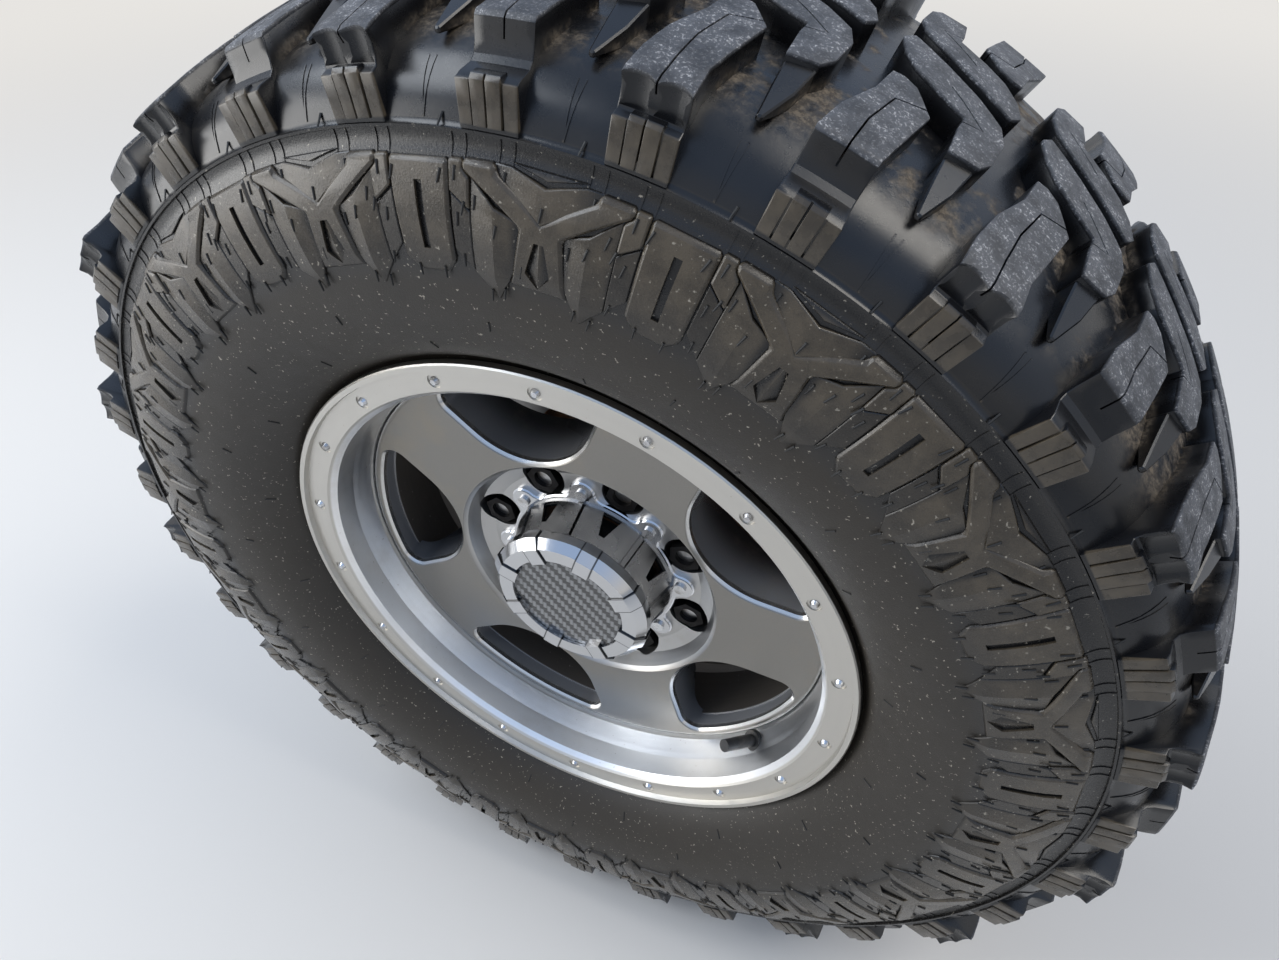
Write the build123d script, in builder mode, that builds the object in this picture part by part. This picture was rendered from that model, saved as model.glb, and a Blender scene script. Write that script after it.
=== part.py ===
"""Off-road wheel on the axle end that carries it.

Millimetres, +Z up. Y is the wheel's axis and points inboard, so the wheel's
face looks towards -Y. The origin is the centre of the bolted face of the
caliper bracket, where the axle's knuckle takes the whole wheel end.

depth(d) turns a distance inboard of the rim's lip face into Y. Clock angles
run clockwise from the top, seen from outside. A turned piece is drawn as
(radius, depth) points and revolved.
"""
import os
from math import asin, cos, degrees, radians, sin, tan

from build123d import *

edge_break = 2.0
edge_touch = 0.01

# Rim: 16 inch, 8 inches between the tyre's beads
rim_flange_r = 220.0
flange_height = 17.2
rim_width = 203.0
flange_width = 11.5
lip_edge_proud = 4.0
lip_edge_width = 5.5
lip_width = 24.0
dish_drop = 9.0
dish_step = 3.0
dish_shoulder = 22.0
dish_foot = 3.0
bead_seat_width = 26.0
seat_step = 5.0
barrel_wall = 6.0
well_drop = 18.8
well_start = 76.0
well_end = 104.0
well_ramp = 24.0
drum_drop = 3.0

# Lip rivets
rivet_count = 18
rivet_inset = 9.5
rivet_clock = -0.5
rivet_r = 3.3
rivet_seat_r = 5.0
rivet_seat_deep = 1.0
rivet_dome = 1.4

# Spoke disc
spoke_count = 5
window_clock = -16.1
spoke_half = 40.0
window_rim = 8.0
window_nose_fillet = 58.0
window_corner_fillet = 12.0
window_bevel = 2.5
disc_face = 42.0
disc_rim_thick = 17.0
disc_roll = 4.0
disc_seat_gap = 0.3
bowl_r = 103.0
bowl_edge = 3.0
bowl_slope = 5.0
bowl_floor_r = 83.0
bowl_floor = 60.0
pad_face = 100.0
pad_r = 104.0
pilot_r = 60.7
spoke_back_r = 150.0
spoke_back = 86.0
pocket_start_r = 113.0
pocket_end_r = 162.0
pocket_half = 24.0
pocket_wall = 18.0
pocket_fillet = 8.0

# Wheel bolting
lug_count = 8
lug_circle_r = 82.55
lug_clock = 17.4
lug_well_r = 16.5
lug_seat = 82.0
stud_r = 7.15
stud_hole_gap = 0.85
stud_short = 4.0
nut_across_flats = 22.2
nut_length = 24.0
nut_cone_angle = 30.0
nut_seat_gap = 0.1

# Hub cap
cap_screw_circle_r = 72.0
cap_lobe_r = 9.5
cap_scallop_r = 8.0
cap_flange_thick = 4.0
cap_flange_step = 1.0
cap_base_r = 65.0
cap_neck_r = 57.5
cap_wall = 3.0
cap_flute_half = 7.5
cap_flute_tip = 2.2
cap_flute_length = 19.0
cap_rail_half = 2.0
cap_rail_proud = 1.8
cap_slit = 1.6
cap_ring_r = 62.0
cap_ring_back = 27.0
cap_ring_chamfer = 6.0
cap_front = 12.0
cap_window_r = 45.0
cap_tab_half = 6.5
cap_tab_proud = 1.2
cap_tab_reach = 2.5
insert_thick = 2.0
insert_sunk = 2.5
insert_gap = 0.3
cap_screw_r = 4.6
cap_screw_head = 2.0

# Tyre, 285/75 R16 class
tyre_r = 416.5
tread_half = 118.0
tread_deep = 15.5
shoulder_drop = 13.0
parting_drop = 53.5
parting_out = 14.0
sidewall_thick = 12.0
crown_thick = 18.5
bead_width = 19.0
bead_height = 24.0
bead_gap = 0.2
pitch_count = 32
pitch_clock = 25.9
short_lug_half = 100.0
lug_sink = 4.0

# Hub and brake rotor
hub_flange_thick = 16.0
hub_flange_r = 100.0
hub_snout_r = 50.0
hub_snout_end = 36.0
hub_body_r = 60.0
hub_back = 178.0
hub_taper = 4.0
pilot_gap = 0.2
rotor_start = 138.0
rotor_thick = 38.0
rotor_plate = 12.0
rotor_hat_r = 100.0
rotor_hat_thick = 10.0
rotor_hat_wall = 6.0
rotor_hub_gap = 6.0
rotor_vanes = 20
vane_thick = 6.0
vane_inset = 2.0
stud_head_r = 10.5
stud_head = 5.0

# Axle end: spindle, caliper bracket, splash shield
bearing_gap = 0.05
inner_journal_r = 36.0
inner_journal_start = 150.0
outer_journal_r = 28.0
outer_journal_start = 60.0
outer_journal_end = 84.0
grease_gap = 8.0
spindle_mid_r = 32.0
spindle_bore_r = 18.0
spindle_thread_r = 25.0
spindle_end = 40.0
spindle_neck_r = 45.0
spindle_flange_r = 80.0
spindle_flange_start = 194.0
spindle_flange_thick = 14.0
spindle_bolts = 6
spindle_bolt_circle_r = 63.5
spindle_bolt_hole_r = 6.6
neck_gap = 0.1
bracket_thick = 16.0
shield_sheet = 2.0
shield_over = 7.0
shield_step = 6.0
shield_lip = 5.0
shield_gap = 4.0
spindle_nut_thick = 12.0
spindle_nut_r = 36.0
spindle_nut_gap = 6.0

# Brake caliper, floating on two pins
caliper_clock = 78.0
caliper_bridge_gap = 4.0
caliper_bridge_thick = 24.0
caliper_rim_gap = 9.8
caliper_leg_thick = 14.0
caliper_leg_slope_r = 19.0
caliper_housing_deep = 34.0
caliper_housing_half = 58.0
caliper_back_chamfer = 14.0
caliper_over = 1.0
piston_r = 27.0
piston_off = 29.0
piston_boss = 1.5
pad_thick = 11.0
pad_hat_gap = 7.0
pad_gap = 0.5
pad_half = 58.0
pad_edge = 2.0
pin_r = 6.5
pin_off = 80.0
pin_inset = 31.0
pin_hole_gap = 0.1
pin_head = 2.0
ear_r = 14.0
ear_root_r = 22.0
ear_root_off = 46.0
ear_root_out = 8.0
ear_start = 192.0
ear_thick = 12.0
bracket_arm_r = 18.0
bracket_arm_radius = 30.0
bracket_arm_off = 68.0

# Valve
valve_hole_r = 6.0
valve_hole_gap = 0.1
valve_lean = 45.0
valve_root_in = 1.5
valve_root = 33.0
valve_cut = 20.0
valve_base_r = 8.0
valve_base = 4.0
valve_stem_r = 5.0
valve_inside = 8.0
valve_length = 22.0
valve_cap_r = 4.9
valve_cap_length = 11.0
valve_seat_gap = 0.2

# Sizes that follow from those above
bead_seat_r = rim_flange_r - flange_height
lip_inner_r = rim_flange_r - lip_width
lip_outer_r = rim_flange_r - lip_edge_width
dish_end_r = lip_inner_r - dish_drop
well_r = bead_seat_r - well_drop
well_inner_r = well_r - barrel_wall
barrel_inner_r = bead_seat_r - barrel_wall
drum_r = bead_seat_r - drum_drop
bridge_out = barrel_inner_r - caliper_rim_gap
bridge_in = bridge_out - caliper_bridge_thick
rotor_r = bridge_in - caliper_bridge_gap
flange_in = flange_width - lip_edge_proud
flange_in_back = flange_in + rim_width
rim_back = flange_in_back + flange_width
rim_centre = flange_in + rim_width / 2
disc_back_rim = disc_face + disc_rim_thick
mount_face = spindle_flange_start + spindle_flange_thick + bracket_thick
flange_back = spindle_flange_start + spindle_flange_thick


def depth(d):
    """Y of a place d inboard of the lip face."""
    return d - mount_face


def face_plane(d):
    """Plane across the axis at depth d, seen from outside: X right, Z up."""
    return Plane.XZ.offset(-depth(d))


def around(clock, r):
    """Place at a clock angle and radius on a face plane."""
    return (r * sin(radians(clock)), r * cos(radians(clock)))


def ring_of(count, r, clock):
    """The same place repeated round the axis, on a face plane."""
    return PolarLocations(r, count, start_angle=90 - clock)


def clocks(count, first):
    """Clock angles of a ring of pieces."""
    return [first + 360 / count * i for i in range(count)]


def radial_plane(clock):
    """Plane through the axis at a clock angle: local X is radius, local Y is Y."""
    x, z = around(clock, 1)
    return Plane(origin=(0, 0, 0), x_dir=(x, 0, z), z_dir=(-z, 0, x))


def side_plane(clock, r, d):
    """Plane square to a radius: local X runs clockwise, local Y inboard."""
    x, z = around(clock, 1)
    return Plane(origin=(r * x, depth(d), r * z), x_dir=(z, 0, -x), z_dir=(x, 0, z))


def section(points):
    """Closed (radius, depth) outline as (X, Y) points for a turned piece."""
    return [(r, depth(d)) for r, d in points]


def save(part, name):
    part.label = name
    export_step(part, f"parts/{name}.step")


os.makedirs("parts", exist_ok=True)

# Rim barrel: lip ring, stepped dish, well and inner bead seat in one turned section
rivet_circle_r = lip_inner_r + rivet_inset
valve_clock = window_clock + 2 * 360 / spoke_count
valve_side = radial_plane(valve_clock)
valve_plane = Plane(
    origin=valve_side.from_local_coords((dish_end_r + valve_root_in, depth(valve_root), 0)),
    x_dir=valve_side.z_dir,
    z_dir=valve_side.x_dir * -cos(radians(valve_lean)) - valve_side.y_dir * sin(radians(valve_lean)),
)
with BuildPart() as rim_barrel:
    with BuildSketch(Plane.XY):
        with BuildLine():
            Polyline(*section([
                (lip_inner_r, edge_break),
                (lip_inner_r + edge_break, 0),
                (lip_outer_r, 0),
                (lip_outer_r + 1, -lip_edge_proud),
                (rim_flange_r - 1, -lip_edge_proud),
                (rim_flange_r, -lip_edge_proud + 1),
                (rim_flange_r, edge_break),
                (lip_outer_r, flange_in),
                (bead_seat_r, flange_in),
                (bead_seat_r, flange_in + bead_seat_width),
                (bead_seat_r - seat_step, flange_in + bead_seat_width + seat_step),
                (well_r, well_start),
                (well_r, well_end),
                (drum_r, well_end + well_ramp),
                (drum_r, flange_in_back - bead_seat_width - drum_drop),
                (bead_seat_r, flange_in_back - bead_seat_width),
                (bead_seat_r, flange_in_back),
                (lip_outer_r, flange_in_back),
                (rim_flange_r, flange_in_back + lip_edge_width),
                (rim_flange_r, rim_back),
                (lip_outer_r, rim_back),
                (bead_seat_r, flange_in_back + lip_edge_width),
                (barrel_inner_r, flange_in_back - lip_edge_width),
                (barrel_inner_r, well_end + well_ramp + edge_break),
                (well_inner_r, well_end),
                (well_inner_r, disc_back_rim),
                (dish_end_r, disc_back_rim),
                (dish_end_r, disc_face - dish_foot),
                (lip_inner_r - dish_step - 2, dish_shoulder),
                (lip_inner_r - dish_step, lip_edge_width),
            ]), close=True)
        make_face()
    revolve(axis=Axis.Y)
    with BuildSketch(face_plane(0)):
        with ring_of(rivet_count, rivet_circle_r, rivet_clock):
            Circle(rivet_seat_r)
    extrude(amount=-rivet_seat_deep, mode=Mode.SUBTRACT)
    with BuildSketch(valve_plane):
        Circle(valve_hole_r)
    extrude(amount=-valve_cut, mode=Mode.SUBTRACT)
    with BuildSketch(valve_plane):
        Circle(valve_base_r + valve_seat_gap)
    extrude(amount=valve_cut, mode=Mode.SUBTRACT)
save(rim_barrel.part, "rim_barrel")

# Lip rivets: tapered heads in their shallow seats
with BuildPart() as lip_rivets:
    with Locations(face_plane((rivet_seat_deep - rivet_dome) / 2)):
        with ring_of(rivet_count, rivet_circle_r, rivet_clock):
            Cone(rivet_r, rivet_r - rivet_dome, rivet_seat_deep + rivet_dome)
save(lip_rivets.part, "lip_rivets")

# Window outline, pointing along local X: it lies between two parallel-sided spokes
spoke_angle = 180 / spoke_count
window_outer_r = dish_end_r - window_rim
corner_angle = radians(spoke_angle) - asin(spoke_half / window_outer_r)
window_corner = (window_outer_r * cos(corner_angle), window_outer_r * sin(corner_angle))
window_tip_r = spoke_half / sin(radians(spoke_angle))
with BuildSketch() as window:
    with BuildLine():
        ThreePointArc(
            window_corner, (window_outer_r, 0), (window_corner[0], -window_corner[1])
        )
        Polyline((window_corner[0], -window_corner[1]), (window_tip_r, 0), window_corner)
    make_face()
    fillet(window.vertices().sort_by(Axis.X)[-2:], window_corner_fillet)
    fillet(window.vertices().sort_by(Axis.X)[0], window_nose_fillet)

# Spoke disc: turned section, bevelled windows, pockets behind the spokes, lug wells
disc_r = dish_end_r - disc_seat_gap
disc_step_r = well_inner_r - disc_seat_gap
stud_hole_r = stud_r + stud_hole_gap
nut_r = nut_across_flats / 2
nut_cone = (nut_r - stud_hole_r) / tan(radians(nut_cone_angle))
well_floor = lug_seat - nut_cone
with BuildPart() as spoke_disc:
    with BuildSketch(Plane.XY):
        with BuildLine():
            Polyline(*section([
                (disc_r, disc_face + disc_roll),
                (disc_r - 1, disc_face + 1),
                (disc_r - disc_roll, disc_face),
                (bowl_r + bowl_edge, disc_face),
                (bowl_r, disc_face + bowl_edge),
                (bowl_r - bowl_slope, bowl_floor - disc_roll),
                (bowl_floor_r + disc_roll, bowl_floor),
                (pilot_r + edge_break, bowl_floor),
                (pilot_r, bowl_floor + edge_break),
                (pilot_r, pad_face),
                (pad_r, pad_face),
                (pad_r + bowl_slope, pad_face - bowl_slope),
                (spoke_back_r, spoke_back),
                (disc_step_r, disc_back_rim + disc_roll),
                (disc_step_r, disc_back_rim),
                (disc_r, disc_back_rim),
            ]), close=True)
        make_face()
    revolve(axis=Axis.Y)
    with BuildSketch(face_plane(0)):
        with ring_of(spoke_count, 0, window_clock):
            add(window.sketch)
    extrude(amount=-pad_face, mode=Mode.SUBTRACT)
    face_edges = spoke_disc.edges().filter_by_position(
        Axis.Y, depth(disc_face) - edge_touch, depth(disc_face) + edge_touch
    )
    chamfer([edge for edge in face_edges if not edge.is_closed], window_bevel)
    with BuildSketch(face_plane(pad_face)):
        with ring_of(spoke_count, (pocket_start_r + pocket_end_r) / 2, window_clock + spoke_angle):
            RectangleRounded(pocket_end_r - pocket_start_r, 2 * pocket_half, pocket_fillet)
    extrude(amount=pad_face - disc_face - pocket_wall, mode=Mode.SUBTRACT)
    with BuildSketch(face_plane(0)):
        with ring_of(lug_count, lug_circle_r, lug_clock):
            Circle(stud_hole_r)
    extrude(amount=-pad_face, mode=Mode.SUBTRACT)
    with BuildSketch(face_plane(well_floor)):
        with ring_of(lug_count, lug_circle_r, lug_clock):
            Circle(lug_well_r)
    extrude(amount=well_floor, mode=Mode.SUBTRACT)
    with Locations(face_plane(lug_seat - nut_cone / 2)):
        with ring_of(lug_count, lug_circle_r, lug_clock):
            Cone(stud_hole_r, nut_r, nut_cone, mode=Mode.SUBTRACT)
save(spoke_disc.part, "spoke_disc")

# Lug nuts: hexagon bodies with conical seats, on the studs
nut_front = lug_seat - nut_length
with BuildPart() as lug_nuts:
    with BuildSketch(face_plane(well_floor - nut_seat_gap)):
        with ring_of(lug_count, lug_circle_r, lug_clock):
            RegularPolygon(nut_r, 6, major_radius=False)
    extrude(amount=nut_length - nut_cone)
    with Locations(face_plane(lug_seat - nut_cone / 2 - nut_seat_gap)):
        with ring_of(lug_count, lug_circle_r, lug_clock):
            Cone(stud_hole_r, nut_r, nut_cone)
    with BuildSketch(face_plane(0)):
        with ring_of(lug_count, lug_circle_r, lug_clock):
            Circle(stud_r)
    extrude(amount=-pad_face, mode=Mode.SUBTRACT)
save(lug_nuts.part, "lug_nuts")

# Hub: flange the wheel bolts to, snout through the wheel, two bearing seats
hub_flange_back = pad_face + hub_flange_thick
pilot_start = bowl_floor + grease_gap
inner_seat_r = inner_journal_r + bearing_gap
outer_seat_r = outer_journal_r + bearing_gap
nut_room_r = spindle_nut_r + spindle_nut_gap
with BuildPart() as hub:
    with BuildSketch(Plane.XY):
        with BuildLine():
            Polyline(*section([
                (nut_room_r, hub_snout_end),
                (hub_snout_r, hub_snout_end),
                (hub_snout_r, pilot_start - hub_taper),
                (pilot_r - pilot_gap, pilot_start),
                (pilot_r - pilot_gap, pad_face),
                (hub_flange_r, pad_face),
                (hub_flange_r, hub_flange_back),
                (hub_body_r + hub_taper, hub_flange_back),
                (hub_body_r, hub_flange_back + grease_gap),
                (hub_body_r - hub_taper, hub_back),
                (inner_journal_r + grease_gap, hub_back),
                (inner_seat_r, hub_back - edge_break),
                (inner_seat_r, inner_journal_start + edge_break),
                (inner_journal_r + grease_gap, inner_journal_start),
                (inner_journal_r + grease_gap, outer_journal_end + grease_gap),
                (outer_seat_r, outer_journal_end - edge_break),
                (outer_seat_r, outer_journal_start + edge_break),
                (nut_room_r, outer_journal_start),
            ]), close=True)
        make_face()
    revolve(axis=Axis.Y)
    with BuildSketch(face_plane(pad_face)):
        with ring_of(lug_count, lug_circle_r, lug_clock):
            Circle(stud_r)
    extrude(amount=-hub_flange_thick, mode=Mode.SUBTRACT)
save(hub.part, "hub")

# Wheel studs: pressed through rotor hat and hub flange, heads behind the hat
rotor_hat_back = hub_flange_back + rotor_hat_thick
with BuildPart() as wheel_studs:
    with BuildSketch(face_plane(rotor_hat_back)):
        with ring_of(lug_count, lug_circle_r, lug_clock):
            Circle(stud_r)
    extrude(amount=rotor_hat_back - nut_front - stud_short)
    with BuildSketch(face_plane(rotor_hat_back)):
        with ring_of(lug_count, lug_circle_r, lug_clock):
            Circle(stud_head_r)
    extrude(amount=-stud_head)
save(wheel_studs.part, "wheel_studs")

# Brake rotor: hat behind the hub flange, two plates joined by vanes
rotor_end = rotor_start + rotor_thick
rotor_gap = rotor_thick - 2 * rotor_plate
rotor_inner_r = rotor_hat_r - rotor_hat_wall
rotor_eye_r = hub_body_r + rotor_hub_gap
with BuildPart() as brake_rotor:
    with BuildSketch(Plane.XY):
        with BuildLine():
            Polyline(*section([
                (rotor_eye_r, hub_flange_back),
                (rotor_hat_r, hub_flange_back),
                (rotor_hat_r, rotor_start),
                (rotor_r, rotor_start),
                (rotor_r, rotor_start + rotor_plate),
                (rotor_inner_r, rotor_start + rotor_plate),
                (rotor_inner_r, rotor_hat_back),
                (rotor_eye_r, rotor_hat_back),
            ]), close=True)
        make_face()
    revolve(axis=Axis.Y)
    with BuildSketch(face_plane(rotor_end - rotor_plate)):
        Circle(rotor_r)
        Circle(rotor_inner_r, mode=Mode.SUBTRACT)
    extrude(amount=-rotor_plate)
    with BuildSketch(face_plane(rotor_start + rotor_plate)):
        with ring_of(rotor_vanes, (rotor_inner_r + rotor_r) / 2, 0):
            Rectangle(rotor_r - rotor_inner_r - 2 * vane_inset, vane_thick)
    extrude(amount=-rotor_gap)
    with BuildSketch(face_plane(hub_flange_back)):
        with ring_of(lug_count, lug_circle_r, lug_clock):
            Circle(stud_r)
    extrude(amount=-rotor_hat_thick, mode=Mode.SUBTRACT)
save(brake_rotor.part, "brake_rotor")

# Hub cap: flange of two layers on the bowl floor with a screw lobe between every
# two lug wells, tapering body with flutes in line with the wells and rails with the screws
cap_screw_clock = lug_clock - 180 / lug_count
cap_waist_r = cap_base_r + edge_break
cap_flange_front = bowl_floor - cap_flange_thick
rail_planes = [radial_plane(clock) for clock in clocks(lug_count, cap_screw_clock)]
slit_planes = [side_plane(clock, cap_base_r + cap_flange_thick, cap_flange_front)
               for clock in clocks(lug_count, cap_screw_clock)]
flute_planes = [side_plane(clock, cap_base_r + cap_flange_thick, cap_flange_front)
                for clock in clocks(lug_count, lug_clock)]
cap_cut = cap_base_r + cap_flange_thick - (cap_neck_r - 2 * cap_wall)
cap_body_long = cap_flange_front - cap_ring_back
with BuildPart() as cap_body:
    for step, thick in ((cap_flange_step, cap_flange_thick / 2), (0, cap_flange_thick)):
        with BuildSketch(face_plane(bowl_floor)) as layer:
            Circle(cap_waist_r + step)
            with ring_of(lug_count, cap_screw_circle_r, cap_screw_clock):
                Circle(cap_lobe_r + step)
            fillet(layer.vertices(), cap_scallop_r - step)
        extrude(amount=thick)
    with BuildSketch(Plane.XY):
        with BuildLine():
            Polyline(*section([
                (cap_base_r, bowl_floor),
                (cap_base_r, cap_flange_front - edge_break),
                (cap_neck_r, cap_ring_back),
                (cap_neck_r - cap_wall, cap_ring_back),
                (cap_base_r - cap_wall, bowl_floor),
            ]), close=True)
        make_face()
    revolve(axis=Axis.Y)
    with BuildSketch(face_plane(bowl_floor)):
        Circle(cap_base_r - cap_wall)
    extrude(amount=cap_flange_thick, mode=Mode.SUBTRACT)
    with BuildSketch(*rail_planes):
        with BuildLine():
            Polyline(*section([
                (cap_base_r - 1, cap_flange_front),
                (cap_base_r + cap_rail_proud, cap_flange_front),
                (cap_neck_r + cap_rail_proud, cap_ring_back + 1),
                (cap_neck_r - 1, cap_ring_back + 1),
            ]), close=True)
        make_face()
    extrude(amount=cap_rail_half, both=True)
    with BuildSketch(*slit_planes):
        with Locations((cap_rail_half + cap_slit / 3, -cap_body_long / 2)):
            Rectangle(cap_slit, cap_body_long - 2 * edge_break)
    extrude(amount=-cap_cut, mode=Mode.SUBTRACT)
    with BuildSketch(*flute_planes):
        with BuildLine():
            Polyline(
                (-cap_flute_half, -edge_break),
                (cap_flute_half, -edge_break),
                (cap_flute_tip, -cap_flute_length),
                (-cap_flute_tip, -cap_flute_length),
                close=True,
            )
        make_face()
    extrude(amount=-cap_cut, mode=Mode.SUBTRACT)
save(cap_body.part, "hub_cap_body")

# Tabs on the cap's front ring, in line with the flutes
insert_face = cap_front + insert_sunk
tab_bar_r = (cap_window_r - cap_tab_reach + cap_ring_r + cap_tab_proud) / 2
with BuildPart() as cap_tabs:
    with BuildSketch(Plane.XY):
        with BuildLine():
            Polyline(*section([
                (cap_window_r - cap_tab_reach, insert_face),
                (cap_window_r - cap_tab_reach, cap_front - cap_tab_proud),
                (cap_ring_r - cap_ring_chamfer, cap_front - cap_tab_proud),
                (cap_ring_r + cap_tab_proud, cap_front + cap_ring_chamfer - cap_tab_proud),
                (cap_ring_r + cap_tab_proud, cap_ring_back - edge_break),
                (cap_ring_r - 1, cap_ring_back - edge_break),
                (cap_ring_r - cap_ring_chamfer, insert_face),
            ]), close=True)
        make_face()
    revolve(axis=Axis.Y)
    with BuildSketch(face_plane(0)):
        with ring_of(lug_count, tab_bar_r, lug_clock):
            Rectangle(cap_ring_r, 2 * cap_tab_half)
    extrude(amount=-cap_ring_back, mode=Mode.INTERSECT)

# Hub cap front: chamfered ring with its tabs and a sunk seat for the insert
with BuildPart() as cap_ring:
    with BuildSketch(Plane.XY):
        with BuildLine():
            Polyline(*section([
                (cap_window_r, cap_front),
                (cap_ring_r - cap_ring_chamfer, cap_front),
                (cap_ring_r, cap_front + cap_ring_chamfer),
                (cap_ring_r, cap_ring_back - edge_break),
                (cap_ring_r - edge_break, cap_ring_back),
                (0, cap_ring_back),
                (0, insert_face + insert_thick),
                (cap_window_r, insert_face + insert_thick),
            ]), close=True)
        make_face()
    revolve(axis=Axis.Y)
    add(cap_tabs.part)
save(cap_ring.part, "hub_cap_ring")

# Hub cap insert: the flat woven disc
with BuildPart() as cap_insert:
    with BuildSketch(face_plane(insert_face + insert_thick)):
        Circle(cap_window_r - insert_gap)
    extrude(amount=insert_thick)
save(cap_insert.part, "hub_cap_insert")

# Hub cap screws
with BuildPart() as cap_screws:
    with BuildSketch(face_plane(cap_flange_front)):
        with ring_of(lug_count, cap_screw_circle_r, cap_screw_clock):
            Circle(cap_screw_r)
    extrude(amount=cap_screw_head)
save(cap_screws.part, "hub_cap_screws")


def crown_r(off):
    """Radius of the lugs' tips at a distance from the tyre's middle."""
    return tyre_r - shoulder_drop * (off / tread_half) ** 2


def tyre_outline(outer, inner):
    """Closed outline from (radius, distance off the middle) lists for one side."""
    def both(half):
        out = [(r, depth(rim_centre - off)) for r, off in half]
        return out + [(r, depth(rim_centre + off)) for r, off in reversed(half)]
    return both(outer) + both(inner)[::-1]


# Tyre side, as (share of the height up to the parting line, distance outboard of the lip)
side_shape = [(0.18, 18.0), (0.39, 29.0), (0.61, 31.0), (0.83, 25.0)]
# Gutter between the shoulder lugs, as (drop below the crown, distance in from the tread's edge)
gutter_shape = [(38.0, 3.0), (24.5, 25.0), (tread_deep, 108.0)]
parting_r = tyre_r - parting_drop
parting_off = rim_centre + parting_out
side_high = parting_r - rim_flange_r
tyre_side = [(rim_flange_r + side_high * share, rim_centre + out) for share, out in side_shape]
gutter = [(tyre_r - drop, tread_half - inset) for drop, inset in gutter_shape]
bead_off = rim_centre - flange_in
bead_r = bead_seat_r + bead_gap
side_wall_r, side_wall_off = tyre_side[2]

# Lugs of one pitch, as (middle clockwise of the pitch line, corners clockwise and off the middle)
shoulder_lug = (-23.0, [(-23, 130), (7, 130), (18, 55), (7, 37), (-8, 37)])
centre_lug = (0.0, [(9, 66), (26, 63), (31, 26), (-26, -6), (-33, 5), (8, 36)])
# Sides of the short and the long shoulder lug, as (drop below the crown, distance off the middle)
step_block = [(parting_drop, tread_half + 6.5), (31.5, tread_half + 4.5)]
short_side = step_block + [(29.5, short_lug_half + 10)]
long_side = step_block + [(29.5, tread_half - 1)]
shoulder_inner_off = 30.0
centre_outer_off = 75.0
centre_over = 12.0
lug_reach = 60.0


def tread_cut(off):
    """Radius inside the rubber below the tread's floor, where a lug is rooted."""
    return crown_r(off) - tread_deep - lug_sink


def shoulder_section(side, edge_off):
    """Section of a shoulder lug from its side over the tread's edge."""
    points = [(tyre_r - drop, off) for drop, off in side]
    points += [(crown_r(off), off) for off in (edge_off, shoulder_inner_off)]
    points += [(tread_cut(shoulder_inner_off), shoulder_inner_off)]
    points += [(r - lug_sink, off - lug_sink) for r, off in gutter[1::-1]]
    return points + [(parting_r - lug_sink, parting_off - lug_sink)]


centre_section = [
    (crown_r(centre_outer_off), centre_outer_off),
    (tyre_r, -centre_over),
    (tread_cut(centre_over), -centre_over),
    (tread_cut(centre_outer_off), centre_outer_off),
]
pitch_angle = 360 / pitch_count
lugs = []
for pitch, (side, edge_off) in enumerate(((short_side, short_lug_half), (long_side, tread_half))):
    for turn in (1, -1):
        for (middle, corners), lug_section in (
            (shoulder_lug, shoulder_section(side, edge_off)), (centre_lug, centre_section)
        ):
            clock = pitch_clock + pitch_angle * pitch + degrees(turn * middle / tyre_r)
            with BuildPart() as lug:
                with BuildSketch(side_plane(clock, tyre_r + lug_sink, rim_centre)):
                    with BuildLine():
                        Polyline(*[(turn * x, -turn * off) for x, off in corners], close=True)
                    make_face()
                extrude(amount=-parting_drop - 2 * lug_sink)
                with BuildSketch(radial_plane(clock)):
                    with BuildLine():
                        Polyline(
                            *[(r, depth(rim_centre - turn * off)) for r, off in lug_section],
                            close=True,
                        )
                    make_face()
                extrude(amount=lug_reach, both=True, mode=Mode.INTERSECT)
            lugs.append(lug.part)
tread_lugs = [
    lug.rotate(Axis.Y, 2 * pitch_angle * group) for group in range(pitch_count // 2) for lug in lugs
]

# Tyre: hollow carcass seated on both beads, with its tread lugs
with BuildPart() as tyre:
    with BuildSketch(Plane.XY):
        with BuildLine():
            Polyline(*tyre_outline(
                [(rim_flange_r + 1, bead_off + 1)] + tyre_side + [(parting_r, parting_off)] + gutter,
                [
                    (lip_outer_r, bead_off),
                    (bead_r, bead_off),
                    (bead_r, bead_off - bead_width),
                    (bead_r + bead_height, bead_off - bead_width / 2),
                    (side_wall_r, side_wall_off - sidewall_thick),
                    (parting_r - sidewall_thick, rim_centre),
                    (tyre_r - tread_deep - crown_thick, rim_centre - 2 * sidewall_thick),
                ],
            ), close=True)
        make_face()
    revolve(axis=Axis.Y)
    add(tread_lugs)
save(tyre.part, "tyre")

# Valve: rubber stem through the barrel beside the disc, and its cap
with BuildPart() as valve_stem:
    with BuildSketch(valve_plane):
        Circle(valve_hole_r - valve_hole_gap)
    extrude(amount=-valve_inside)
    with BuildSketch(valve_plane):
        Circle(valve_stem_r)
    extrude(amount=valve_length)
    with BuildSketch(valve_plane):
        Circle(valve_base_r)
    extrude(amount=valve_base)
save(valve_stem.part, "valve_stem")

with BuildPart() as valve_cap:
    with BuildSketch(valve_plane.offset(valve_length)):
        Circle(valve_cap_r)
    extrude(amount=valve_cap_length)
save(valve_cap.part, "valve_cap")

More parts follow.
